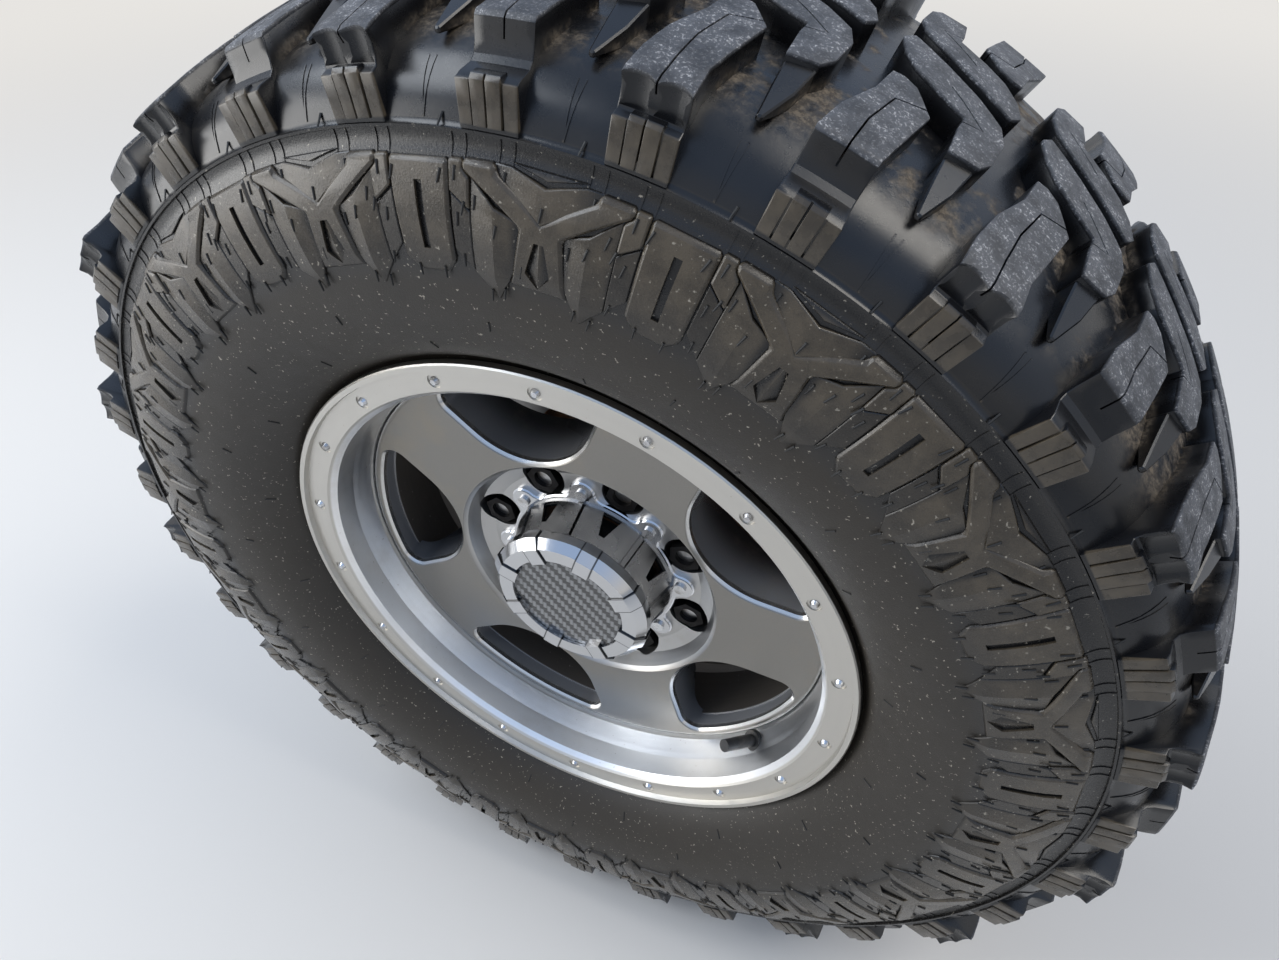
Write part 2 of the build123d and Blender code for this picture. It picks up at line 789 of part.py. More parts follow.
# Spindle: bearing journals, threaded end and the flange that bolts up
with BuildPart() as spindle:
    with BuildSketch(Plane.XY):
        with BuildLine():
            Polyline(*section([
                (spindle_bore_r, spindle_end),
                (spindle_thread_r - edge_break, spindle_end),
                (spindle_thread_r, spindle_end + edge_break),
                (spindle_thread_r, outer_journal_start),
                (outer_journal_r, outer_journal_start),
                (outer_journal_r, outer_journal_end),
                (spindle_mid_r, outer_journal_end + hub_taper),
                (spindle_mid_r, inner_journal_start - hub_taper),
                (inner_journal_r, inner_journal_start),
                (inner_journal_r, hub_back + edge_break),
                (spindle_neck_r, hub_back + grease_gap),
                (spindle_neck_r, spindle_flange_start),
                (spindle_flange_r, spindle_flange_start),
                (spindle_flange_r, flange_back),
                (spindle_neck_r, flange_back),
                (spindle_neck_r, mount_face),
                (spindle_bore_r, mount_face),
            ]), close=True)
        make_face()
    revolve(axis=Axis.Y)
    with BuildSketch(face_plane(spindle_flange_start)):
        with ring_of(spindle_bolts, spindle_bolt_circle_r, 0):
            Circle(spindle_bolt_hole_r)
    extrude(amount=-spindle_flange_thick, mode=Mode.SUBTRACT)
save(spindle.part, "spindle")

# Spindle nut: holds the hub's outer bearing
with BuildPart() as spindle_nut:
    with BuildSketch(face_plane(outer_journal_start)):
        RegularPolygon(spindle_nut_r, 6)
        Circle(spindle_thread_r, mode=Mode.SUBTRACT)
    extrude(amount=spindle_nut_thick)
save(spindle_nut.part, "spindle_nut")

# Brake caliper's reach: over the rotor and clear of the barrel
caliper_plane = radial_plane(caliper_clock)
caliper_outer_face = rotor_start - pad_gap - pad_thick
caliper_inner_face = rotor_end + pad_gap + pad_thick
caliper_pad_in = rotor_hat_r + pad_hat_gap
bridge_top = bridge_out + caliper_over
housing_back = caliper_inner_face + caliper_housing_deep
leg_front = caliper_outer_face - caliper_leg_thick
pin_radius = rotor_r - pin_inset
pad_high = rotor_r - caliper_pad_in


def caliper_place(radius, off):
    """Place on a face plane at a radius along the caliper's own direction."""
    x, z = around(caliper_clock, 1)
    return (x * radius + z * off, z * radius - x * off)


pin_places = [caliper_place(pin_radius, side * pin_off) for side in (-1, 1)]

# Splash shield: dished sheet clamped on the spindle flange, cut out round the caliper
shield_face = spindle_flange_start - shield_sheet
shield_front = shield_face - shield_step
shield_r = rotor_r + shield_over
shield_eye_r = spindle_neck_r + neck_gap
with BuildPart() as splash_shield:
    with BuildSketch(Plane.XY):
        with BuildLine():
            Polyline(*section([
                (shield_eye_r, shield_face),
                (spindle_flange_r + shield_sheet, shield_face),
                (spindle_flange_r + shield_step, shield_front),
                (shield_r, shield_front),
                (shield_r, shield_front - shield_lip),
                (shield_r + shield_sheet, shield_front - shield_lip),
                (shield_r + shield_sheet, shield_front + shield_sheet),
                (spindle_flange_r + shield_step, shield_front + shield_sheet),
                (spindle_flange_r + shield_sheet, spindle_flange_start),
                (shield_eye_r, spindle_flange_start),
            ]), close=True)
        make_face()
    revolve(axis=Axis.Y)
    with BuildSketch(face_plane(shield_face)):
        with ring_of(spindle_bolts, spindle_bolt_circle_r, 0):
            Circle(spindle_bolt_hole_r)
    extrude(amount=-shield_sheet, mode=Mode.SUBTRACT)
    with BuildSketch(caliper_plane):
        with BuildLine():
            Polyline(*section([
                (caliper_pad_in - shield_gap, rotor_start),
                (2 * shield_r, rotor_start),
                (2 * shield_r, mount_face),
                (caliper_pad_in - shield_gap, mount_face),
            ]), close=True)
        make_face()
    extrude(amount=caliper_housing_half + shield_gap, both=True, mode=Mode.SUBTRACT)
save(splash_shield.part, "splash_shield")

# Caliper bracket: plate behind the spindle flange with an arm to each slide pin
with BuildPart() as caliper_bracket:
    with BuildSketch(face_plane(flange_back)):
        Circle(spindle_flange_r)
        for side, pin_place in zip((-1, 1), pin_places):
            with BuildSketch(face_plane(flange_back), mode=Mode.PRIVATE) as arm:
                with Locations(caliper_place(bracket_arm_radius, side * bracket_arm_off)):
                    Circle(bracket_arm_r)
                with Locations(pin_place):
                    Circle(ear_r)
                make_hull()
            add(arm.sketch_local)
        Circle(spindle_neck_r + neck_gap, mode=Mode.SUBTRACT)
        with ring_of(spindle_bolts, spindle_bolt_circle_r, 0):
            Circle(spindle_bolt_hole_r, mode=Mode.SUBTRACT)
        with Locations(*pin_places):
            Circle(pin_r + pin_hole_gap, mode=Mode.SUBTRACT)
    extrude(amount=-bracket_thick)
save(caliper_bracket.part, "caliper_bracket")

# Brake caliper: leg, bridge over the rotor and piston housing, with two ears, all
# trimmed to the barrel's curve
with BuildPart() as brake_caliper:
    with BuildSketch(caliper_plane):
        with BuildLine():
            Polyline(*section([
                (caliper_pad_in, leg_front),
                (bridge_top - caliper_leg_slope_r, leg_front),
                (bridge_top, caliper_outer_face),
                (bridge_top, housing_back - caliper_back_chamfer),
                (bridge_top - caliper_back_chamfer / 2, housing_back),
                (caliper_pad_in, housing_back),
                (caliper_pad_in, caliper_inner_face),
                (bridge_in, caliper_inner_face),
                (bridge_in, caliper_outer_face),
                (caliper_pad_in, caliper_outer_face),
            ]), close=True)
        make_face()
    extrude(amount=caliper_housing_half, both=True)
    with BuildSketch(face_plane(ear_start)):
        for side, pin_place in zip((-1, 1), pin_places):
            with BuildSketch(face_plane(ear_start), mode=Mode.PRIVATE) as ear:
                with Locations(pin_place):
                    Circle(ear_r)
                with Locations(caliper_place(pin_radius + ear_root_out, side * ear_root_off)):
                    Circle(ear_root_r)
                make_hull()
            add(ear.sketch_local)
        with Locations(*pin_places):
            Circle(pin_r + pin_hole_gap, mode=Mode.SUBTRACT)
    extrude(amount=-ear_thick)
    with BuildSketch(face_plane(housing_back)):
        with Locations(*(caliper_place((caliper_pad_in + bridge_out) / 2, side * piston_off)
                         for side in (-1, 1))):
            Circle(piston_r)
    extrude(amount=-piston_boss)
    with BuildSketch(face_plane(0)):
        Circle(bridge_out)
    extrude(amount=-mount_face, mode=Mode.INTERSECT)
save(brake_caliper.part, "brake_caliper")

# Brake pads: one each side of the rotor
with BuildPart() as brake_pads:
    for pad_start in (caliper_outer_face, rotor_end + pad_gap):
        with BuildSketch(face_plane(pad_start)):
            with Locations(caliper_place((caliper_pad_in + rotor_r) / 2, 0)):
                Rectangle(pad_high - 2 * pad_edge, 2 * pad_half, rotation=90 - caliper_clock)
            Circle(rotor_r - pad_edge, mode=Mode.INTERSECT)
        extrude(amount=-pad_thick)
save(brake_pads.part, "brake_pads")

# Slide pins: carry the caliper on its bracket
with BuildPart() as slide_pins:
    with BuildSketch(face_plane(ear_start - pin_head)):
        with Locations(*pin_places):
            Circle(pin_r)
    extrude(amount=-(mount_face - ear_start + pin_head))
save(slide_pins.part, "slide_pins")
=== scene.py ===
"""Looks of the off-road wheel on its axle end: mud-terrain tyre, turned rim, hub cap, brake."""
import math

import bpy
from mathutils import Matrix, Vector


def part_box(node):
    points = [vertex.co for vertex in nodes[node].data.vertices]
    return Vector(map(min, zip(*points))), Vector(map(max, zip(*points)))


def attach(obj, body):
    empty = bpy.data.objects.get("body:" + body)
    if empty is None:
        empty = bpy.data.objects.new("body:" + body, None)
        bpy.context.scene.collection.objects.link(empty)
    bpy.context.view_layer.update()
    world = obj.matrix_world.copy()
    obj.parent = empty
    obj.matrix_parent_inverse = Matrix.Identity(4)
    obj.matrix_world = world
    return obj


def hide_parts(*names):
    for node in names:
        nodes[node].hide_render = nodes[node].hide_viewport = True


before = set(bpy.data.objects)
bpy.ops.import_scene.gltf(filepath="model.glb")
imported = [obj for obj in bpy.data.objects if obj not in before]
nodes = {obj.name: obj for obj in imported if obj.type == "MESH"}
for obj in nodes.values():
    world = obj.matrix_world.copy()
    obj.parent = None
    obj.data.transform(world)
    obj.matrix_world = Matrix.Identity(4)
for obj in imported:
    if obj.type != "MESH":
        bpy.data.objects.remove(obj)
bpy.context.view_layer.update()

MM = 0.001

# Sizes of the tyre in millimetres, and clock angles in degrees
tyre_r = 416.5
tread_half = 118.0
shoulder_drop = 13.0
pitch_count = 32
pitch_clock = 25.9
star_clock = 27.1

# Places taken from the frame, in metres
tyre_low, tyre_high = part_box("tyre")
middle_y = (tyre_low.y + tyre_high.y) / 2
floor_z = tyre_low.z


# Modelling

def deselect():
    """Nothing selected and no active object."""
    bpy.ops.object.select_all(action="DESELECT")
    bpy.context.view_layer.objects.active = None


def only(piece):
    """Selects one object and makes it active."""
    deselect()
    piece.select_set(True)
    bpy.context.view_layer.objects.active = piece
    return piece


def named(name):
    """The active object, renamed."""
    piece = bpy.context.view_layer.objects.active
    piece.name = name
    piece.data.name = name
    return piece


def edit(piece, selected=True):
    """Enters edit mode on one object, with all of its mesh selected or none."""
    only(piece)
    bpy.ops.object.mode_set(mode="EDIT")
    bpy.ops.mesh.select_all(action="SELECT" if selected else "DESELECT")


def leave_edit():
    """Back to object mode."""
    bpy.ops.object.mode_set(mode="OBJECT")


def outline(name, points, plane="XY"):
    """A filled primitive with one corner for each point, pulled to the points."""
    deselect()
    bpy.ops.mesh.primitive_circle_add(vertices=len(points), radius=1, fill_type="NGON")
    piece = named(name)
    for vertex, (a, b) in zip(piece.data.vertices, points):
        vertex.co = {"XY": (a, b, 0), "XZ": (a, 0, b), "YZ": (0, a, b)}[plane]
    piece.data.update()
    return piece


def moved(piece, x=0, y=0, z=0):
    """Moves a piece's mesh and leaves its object at the origin."""
    piece.data.transform(Matrix.Translation((x, y, z)))
    return piece


def extrude(piece, move):
    """Extrudes the whole outline along a vector into a closed block."""
    edit(piece)
    bpy.ops.mesh.extrude_region_move(TRANSFORM_OT_translate={"value": move})
    bpy.ops.mesh.select_all(action="SELECT")
    bpy.ops.mesh.normals_make_consistent(inside=False)
    leave_edit()
    return piece


def slice_at(piece, normal, places):
    """Cuts a mesh along planes, so that it can follow a curved surface."""
    axis = Vector(normal)
    for place in places:
        edit(piece)
        bpy.ops.mesh.bisect(plane_co=axis * place, plane_no=axis)
        leave_edit()
    return piece


def apply(piece, kind, **settings):
    """Adds a modifier, sets it up and applies it."""
    only(piece)
    modifier = piece.modifiers.new(kind.title(), kind)
    for key, value in settings.items():
        setattr(modifier, key, value)
    bpy.ops.object.modifier_apply(modifier=modifier.name)
    return piece


def rounded(piece, width, segments=2, angle=32):
    """Bevels the edges that turn by more than an angle in degrees."""
    return apply(piece, "BEVEL", width=width, segments=segments, limit_method="ANGLE",
                 angle_limit=math.radians(angle))


def cut(piece, cutter, operation="DIFFERENCE"):
    """Boolean of two closed blocks. The cutter is used up."""
    apply(piece, "BOOLEAN", operation=operation, solver="EXACT", object=cutter)
    bpy.data.objects.remove(cutter)
    return piece


def block(name, x0, x1, y0, y1, z0, z1):
    """A plain block between two corners, used as a cutter or a rib."""
    deselect()
    bpy.ops.mesh.primitive_cube_add(size=1)
    piece = named(name)
    piece.data.transform(
        Matrix.Translation(((x0 + x1) / 2, (y0 + y1) / 2, (z0 + z1) / 2))
        @ Matrix.Diagonal((x1 - x0, y1 - y0, z1 - z0, 1))
    )
    return piece


def copy_of(piece, name):
    """A copy with its own mesh."""
    twin = piece.copy()
    twin.data = piece.data.copy()
    twin.name = name
    bpy.context.scene.collection.objects.link(twin)
    return twin


def join(pieces, name):
    """Joins objects into one."""
    deselect()
    for piece in pieces:
        piece.select_set(True)
    bpy.context.view_layer.objects.active = pieces[0]
    bpy.ops.object.join()
    return named(name)


def shade(piece, angle):
    """Smooth shading over edges that turn by less than an angle in degrees."""
    only(piece)
    bpy.ops.object.shade_smooth_by_angle(angle=math.radians(angle))
    return piece


def spin(name, section, steps):
    """Closed (radius, off) section in millimetres turned round the wheel's axis."""
    piece = outline(name, section)
    for vertex, (r, off) in zip(piece.data.vertices, section):
        vertex.co = (0, middle_y + off * MM, r * MM)
    edit(piece)
    bpy.ops.mesh.delete(type="ONLY_FACE")
    bpy.ops.mesh.select_all(action="SELECT")
    bpy.ops.mesh.spin(steps=steps, angle=2 * math.pi, center=(0, 0, 0), axis=(0, 1, 0))
    bpy.ops.mesh.select_all(action="SELECT")
    bpy.ops.mesh.remove_doubles(threshold=0.00001)
    bpy.ops.mesh.normals_make_consistent(inside=False)
    leave_edit()
    return piece


# Nodes of a material or the world

def material(name):
    """A new node material, its node tree, and its shader."""
    made = bpy.data.materials.new(name)
    made.use_nodes = True
    tree = made.node_tree
    return made, tree, tree.nodes["Principled BSDF"]


def plug(tree, socket, value):
    """Links a socket, or types a plain value into it."""
    if isinstance(value, bpy.types.NodeSocket):
        tree.links.new(value, socket)
    else:
        socket.default_value = value


def maths(tree, operation, *values):
    """One Math node."""
    made = tree.nodes.new("ShaderNodeMath")
    made.operation = operation
    for socket, value in zip(made.inputs, values):
        plug(tree, socket, value)
    return made.outputs[0]


def product(tree, first, second):
    """One value times another."""
    return maths(tree, "MULTIPLY", first, second)


def less(tree, first, second):
    """One value less another."""
    return maths(tree, "SUBTRACT", first, second)


def total(tree, first, *others):
    """Several values added up."""
    for other in others:
        first = maths(tree, "ADD", first, other)
    return first


def rise(tree, value, low, high):
    """0 at low and 1 at high, smooth between them, whichever is larger."""
    made = tree.nodes.new("ShaderNodeMapRange")
    made.interpolation_type = "SMOOTHSTEP"
    plug(tree, made.inputs["Value"], value)
    made.inputs["From Min"].default_value = low
    made.inputs["From Max"].default_value = high
    return made.outputs["Result"]


def spread(tree, value, low, high):
    """A value from 0 to 1 spread evenly from low to high."""
    return maths(tree, "MULTIPLY_ADD", value, high - low, low)


def blend(tree, factor, first, second):
    """A mix of two colours."""
    made = tree.nodes.new("ShaderNodeMix")
    made.data_type = "RGBA"
    plug(tree, made.inputs[0], factor)
    for socket, value in zip((made.inputs[6], made.inputs[7]), (first, second)):
        plug(tree, socket, value if isinstance(value, bpy.types.NodeSocket) else (*value, 1))
    return made.outputs[2]


def noise(tree, where, scale, detail=3.0, roughness=0.55):
    """Noise from 0 to 1; its scale is about the number of blots in a metre."""
    made = tree.nodes.new("ShaderNodeTexNoise")
    tree.links.new(where, made.inputs["Vector"])
    made.inputs["Scale"].default_value = scale
    made.inputs["Detail"].default_value = detail
    made.inputs["Roughness"].default_value = roughness
    return made.outputs[0]


def combine(tree, x, y, z):
    """A vector from three values."""
    made = tree.nodes.new("ShaderNodeCombineXYZ")
    for socket, value in zip(made.inputs, (x, y, z)):
        plug(tree, socket, value)
    return made.outputs[0]


def vector_length(tree, vector):
    """The length of a vector."""
    made = tree.nodes.new("ShaderNodeVectorMath")
    made.operation = "LENGTH"
    tree.links.new(vector, made.inputs[0])
    return made.outputs["Value"]


def object_place(tree):
    """Object coordinates."""
    return tree.nodes.new("ShaderNodeTexCoord").outputs["Object"]


def places(tree):
    """Object coordinates, their X, Y and Z, and the radius from the wheel's axis."""
    where = object_place(tree)
    parts = tree.nodes.new("ShaderNodeSeparateXYZ")
    tree.links.new(where, parts.inputs[0])
    x, y, z = parts.outputs
    return where, x, y, z, vector_length(tree, combine(tree, x, 0.0, z))


def bumps(tree, shader, *layers):
    """Bump from several (height, distance) layers, one over the other."""
    normal = None
    for height, distance in layers:
        made = tree.nodes.new("ShaderNodeBump")
        made.inputs["Distance"].default_value = distance
        tree.links.new(height, made.inputs["Height"])
        if normal:
            tree.links.new(normal, made.inputs["Normal"])
        normal = made.outputs[0]
    tree.links.new(normal, shader.inputs["Normal"])


# Camera, floor and light, in metres. The sky is paler to the eye and in reflections than in the
# light that it gives, and far from the wheel the floor fades to it, for the eye only.
eye = (0.223, -0.583, 0.538)
sight = (-0.293, 0.661, -0.691)
sensor_mm = 36.0
lens_mm = 26.19
sky_light = 0.48
sky_shown = 0.92
sky_low = (0.87, 0.85, 0.82)
sky_high = (0.52, 0.69, 1.0)
floor_colour = (0.74, 0.72, 0.69)
fade_from, fade_to = 0.6, 3.2


def stand(name, data, place, look):
    """A camera or lamp at a place, looking along a line."""
    made = bpy.data.objects.new(name, data)
    bpy.context.scene.collection.objects.link(made)
    made.location = place
    made.rotation_mode = "QUATERNION"
    made.rotation_quaternion = Vector(look).to_track_quat("-Z", "Y")
    return made


def photograph_camera():
    """The camera at the photograph's place."""
    data = bpy.data.cameras.new("camera")
    data.sensor_width = sensor_mm
    data.lens = lens_mm
    bpy.context.scene.camera = stand("camera", data, eye, sight)


def pale_floor():
    """The floor just under the tyre."""
    deselect()
    bpy.ops.mesh.primitive_plane_add(size=40, location=(0, 0, 0))
    floor = moved(named("floor"), z=floor_z - 0.5 * MM)
    paint, tree, shader = material("pale_floor")
    floor.data.materials.append(paint)
    shader.inputs["Base Color"].default_value = (*floor_colour, 1)
    shader.inputs["Roughness"].default_value = 0.9
    haze = tree.nodes.new("ShaderNodeEmission")
    haze.inputs["Color"].default_value = (*(level * sky_shown for level in sky_low), 1)
    seen = tree.nodes.new("ShaderNodeLightPath").outputs["Is Camera Ray"]
    far_off = rise(tree, vector_length(tree, object_place(tree)), fade_from, fade_to)
    either = tree.nodes.new("ShaderNodeMixShader")
    plug(tree, either.inputs[0], product(tree, far_off, seen))
    plug(tree, either.inputs[1], shader.outputs[0])
    plug(tree, either.inputs[2], haze.outputs[0])
    plug(tree, tree.nodes["Material Output"].inputs["Surface"], either.outputs[0])


def studio_sky():
    """The world, pale low down and blue high up."""
    world = bpy.data.worlds.new("studio")
    bpy.context.scene.world = world
    world.use_nodes = True
    tree = world.node_tree
    background = tree.nodes["Background"]
    parts = tree.nodes.new("ShaderNodeSeparateXYZ")
    plug(tree, parts.inputs[0], tree.nodes.new("ShaderNodeTexCoord").outputs["Generated"])
    ramp = tree.nodes.new("ShaderNodeValToRGB")
    plug(tree, ramp.inputs[0], parts.outputs["Z"])
    for stop, place, colour in zip(ramp.color_ramp.elements, (0.04, 0.55), (sky_low, sky_high)):
        stop.position = place
        stop.color = (*colour, 1)
    plug(tree, background.inputs["Color"], ramp.outputs[0])
    ray = tree.nodes.new("ShaderNodeLightPath")
    shown = maths(tree, "MAXIMUM", ray.outputs["Is Camera Ray"], ray.outputs["Is Glossy Ray"])
    plug(tree, background.inputs["Strength"], spread(tree, shown, sky_light, sky_shown))


def lamp(name, place, size, power, colour):
    """A soft rectangular lamp that looks at the origin."""
    data = bpy.data.lights.new(name, "AREA")
    data.shape = "RECTANGLE"
    data.size, data.size_y = size
    data.energy = power
    data.color = colour
    stand(name, data, place, -Vector(place))


photograph_camera()
bpy.context.scene.view_settings.view_transform = "Standard"
pale_floor()
studio_sky()
lamp("sky_panel", (-1.9, -0.8, 2.2), (2.0, 1.4), 48, (0.92, 0.96, 1.0))
lamp("side_panel", (-2.7, -1.6, 0.6), (2.2, 1.6), 52, (0.99, 0.985, 0.97))
lamp("sun_panel", (1.5, 0.2, 2.4), (1.5, 1.5), 42, (1.0, 0.94, 0.84))


# Tyre: flat pieces are drawn in millimetres, X clockwise along the crown, Y inboard from the
# tyre's middle and Z the radius, and wrapped round the wheel into metres

def crown_r(off):
    """Radius of the lugs' tips at a distance from the tyre's middle."""
    return tyre_r - shoulder_drop * (off / tread_half) ** 2


def wrap(piece, clock, turned=False):
    """Bends a flat piece round the wheel; a turned one goes to the inboard half."""
    way = -1 if turned else 1
    for vertex in piece.data.vertices:
        x, y, z = vertex.co
        angle = math.radians(clock) + way * x / tyre_r
        vertex.co = (z * MM * math.sin(angle), middle_y + way * y * MM, z * MM * math.cos(angle))
    piece.data.update()
    return piece


def repeated(flat, clocks, turned=False):
    """Wrapped copies of a flat piece at several clock angles."""
    return [wrap(copy_of(flat, flat.name + "_copy"), clock, turned) for clock in clocks]


def ribbon(name, line, width, low, high):
    """A thin upright wall along a line in plan, which cuts a sipe or stands as a rib."""
    left, right = [], []
    for i, point in enumerate(line):
        here = Vector(point)
        before = Vector(line[max(i - 1, 0)])
        after = Vector(line[min(i + 1, len(line) - 1)])
        along = (after - before).normalized()
        side = Vector((-along.y, along.x)) * width / 2
        left.append(here + side)
        right.append(here - side)
    wall = moved(outline(name, left + right[::-1]), z=low)
    return extrude(wall, (0, 0, high - low))


def smooth_line(points, steps):
    """Points of a smooth curve through the given ones."""
    out = []
    for i in range(len(points) - 1):
        p = [Vector(points[min(max(i + k, 0), len(points) - 1)]) for k in (-1, 0, 1, 2)]
        for step in range(steps):
            t = step / steps
            out.append(0.5 * (
                2 * p[1] + (p[2] - p[0]) * t + (2 * p[0] - 5 * p[1] + 4 * p[2] - p[3]) * t * t
                + (3 * p[1] - p[0] - 3 * p[2] + p[3]) * t ** 3
            ))
    return out + [Vector(points[-1])]


# Outside of the carcass from the bead to the tread's middle, as (radius, distance off the middle)
side_curve = [(221, 103.5), (226, 111), (235, 119.5), (247, 127), (262, 133), (277, 136),
              (292, 136.8), (308, 136.6), (325, 134.4), (339, 130.8), (351, 126.6)]
band_curve = [(351, 126.6), (354.5, 124.4), (358, 123.2), (361.5, 122.9)]
ridge_line = [(362.2, 124.6), (363.6, 124.6), (364.2, 122.6)]
gutter_curve = [(364.2, 122.6), (369, 120.4), (377, 116.2), (385, 108.5), (391.5, 97.5), (396, 82),
                (399, 62), (401, 38), (401.5, 12)]
inner_line = [(384, 60), (380, 90), (352, 108), (307, 126), (262, 119), (234, 103), (227, 92),
              (203.3, 84), (203.3, 101.3), (214, 101.3)]
side_fine = smooth_line(side_curve, 4) + smooth_line(band_curve, 3) + smooth_line(gutter_curve, 3)
carcass_steps = 192


def side_off(r):
    """Distance off the middle of the carcass's side at a radius."""
    for a, b in zip(side_fine, side_fine[1:]):
        if a.x <= r <= b.x and b.x > a.x:
            return a.y + (b.y - a.y) * (r - a.x) / (b.x - a.x)
    return side_fine[-1].y


def carcass():
    """The tyre without its lugs, hollow, with the fine ridge at the parting line."""
    half = (smooth_line(side_curve, 3)[:-1] + smooth_line(band_curve, 2)[:-1]
            + [Vector(p) for p in [band_curve[-1]] + ridge_line] + smooth_line(gutter_curve, 2)[1:])
    section = [(p.x, p.y) for p in half] + [(p.x, -p.y) for p in reversed(half)]
    section += [(r, -off) for r, off in reversed(inner_line)] + inner_line
    return shade(spin("tyre_carcass", section, carcass_steps), 50)


# Tread lugs in plan, with the sections of the two kinds of shoulder lug
shoulder_plan = [(-45, -130), (-10, -130), (-12.5, -99), (-10, -85), (-4.4, -54.5), (-16, -39),
                 (-23.5, -36), (-29.4, -37), (-32, -57), (-40.6, -80), (-44, -99)]
centre_plan = [(9.4, -66), (25, -63), (29.4, -55), (31, -34), (26.4, -22), (11.7, -12),
               (-20.6, 4), (-29.4, 8), (-34, 0), (-29.4, -13), (-20.6, -23), (-7.3, -30),
               (8.8, -36), (8.2, -45.6)]
wedge_plan = [(9.6, -60), (25, -60), (22, -80), (15.5, -99), (12.5, -99), (10.8, -80)]
step_side = [(124.4, 364), (123.4, 376), (122.6, 385.6)]
long_side = step_side + [(117.8, 387), (116.4, 391), (116.2, 397), (118, 402.4)]
short_side = step_side + [(118, 387.2), (109, 388.2), (105.6, 390.6), (103.6, 395),
                          (102.4, 400.6), (101.2, 405.2), (99, 407.4)]
lug_root = [(30, 396), (60, 394), (82, 390), (97, 385), (108, 377), (116, 367), (119, 361.5)]
flank_section = [(-125.2, 366), (-124.2, 376), (-123.5, 386.2), (-121.5, 388.4), (-116, 388.4),
                 (-116, 366)]

# Slits in the lugs, and the round bites out of a long lug's outer face
sipe_width = 1.0
groove_width = 1.2
sipe_x = -28
groove_places = (-36.6, -19.0)
shoulder_sipe = [(sipe_x, -122), (sipe_x, -99), (-27, -80), (-22, -57), (-2, -49)]
centre_sipe = [(4, -43), (19, -36.5), (-3, -19)]
scallop_places = (-36.5, -19.5)
scallop_r = 14
scallop_y, scallop_z = -129, 402.5


def slit(x, width, floor, low, high):
    """The cutter of a slit in a lug's outer face, down to a floor."""
    return block("slit", x - width / 2, x + width / 2, -130, floor, low, high)


def flank_panel():
    """The raised middle panel of a lug's step, split by the sipe."""
    panels = moved(outline("flank_panel", flank_section, "YZ"), x=-36)
    extrude(panels, (16.5, 0, 0))
    cut(panels, slit(sipe_x, sipe_width, -121, 360, 392))
    return rounded(panels, 0.7)


def scallop(x):
    """A lying cylinder that bites into a lug's outer face."""
    deselect()
    bpy.ops.mesh.primitive_cylinder_add(vertices=36, radius=scallop_r, depth=28)
    return moved(named("scallop"), x, scallop_y, scallop_z)


def shoulder_lug(name, side, edge, scallops=()):
    """A shoulder lug: its section pushed along the tread, trimmed to its plan, slit and closed."""
    crown = [(off, crown_r(off)) for off in (edge - 4, 90, 75, 60, 45, 30) if off < edge - 3]
    section = [(-off, z) for off, z in side + crown + lug_root]
    lug = extrude(moved(outline(name, section, "YZ"), x=-52), (54, 0, 0))
    plan = extrude(moved(outline("plan", shoulder_plan), z=350), (0, 0, 80))
    cut(lug, plan, "INTERSECT")
    rounded(lug, 0.7)
    for x in groove_places:
        cut(lug, slit(x, groove_width, -122.2, 366, 392))
    cut(lug, ribbon("sipe", shoulder_sipe, sipe_width, 397, 430))
    cut(lug, slit(sipe_x, sipe_width, -120.4, 370, 392))
    for x in scallops:
        cut(lug, scallop(x))
    edit(lug)
    bpy.ops.mesh.fill_holes(sides=8)
    bpy.ops.mesh.select_all(action="SELECT")
    bpy.ops.mesh.normals_make_consistent(inside=False)
    leave_edit()
    return slice_at(join([lug, flank_panel()], name), (1, 0, 0), (-38, -32, -24, -17, -12))


def wedge_top(y):
    """Height of the wedge at a centre lug's outer end, lower outwards."""
    return 410.5 + (y + 60) * 0.32


def raised_plan(name, plan, top):
    """A plan raised from the carcass to a height given for Y."""
    part = extrude(moved(outline(name, plan), z=395), (0, 0, 20))
    slice_at(part, (1, 0, 0), (-22, -8, 8, 20))
    slice_at(part, (0, 1, 0), (-50, -25))
    for vertex in part.data.vertices:
        if vertex.co.z > 400:
            vertex.co.z = top(vertex.co.y)
    return part


def centre_lug(name):
    """A centre lug: its plan raised to the crown, with the sloping wedge at its outer end."""
    lug = raised_plan(name, centre_plan, crown_r)
    wedge = raised_plan(name, wedge_plan, wedge_top)
    rounded(lug, 0.65)
    cut(lug, ribbon("sipe", centre_sipe, sipe_width, 409, 430))
    rounded(wedge, 0.8, segments=1)
    return join([lug, wedge], name)


pitch_angle = 360 / pitch_count
short_clocks = [pitch_clock + 2 * pitch_angle * i for i in range(pitch_count // 2)]
long_clocks = [clock + pitch_angle for clock in short_clocks]


def tread():
    """All lugs of both halves in one piece."""
    short = shoulder_lug("short_shoulder_lug", short_side, 100)
    long = shoulder_lug("long_shoulder_lug", long_side, 118, scallop_places)
    centre = centre_lug("centre_lug")
    copies = []
    for turned in (False, True):
        copies += repeated(short, short_clocks, turned) + repeated(long, long_clocks, turned)
        copies += repeated(centre, short_clocks + long_clocks, turned)
    for flat in (short, long, centre):
        bpy.data.objects.remove(flat)
    return shade(join(copies, "tread_lugs"), 24)


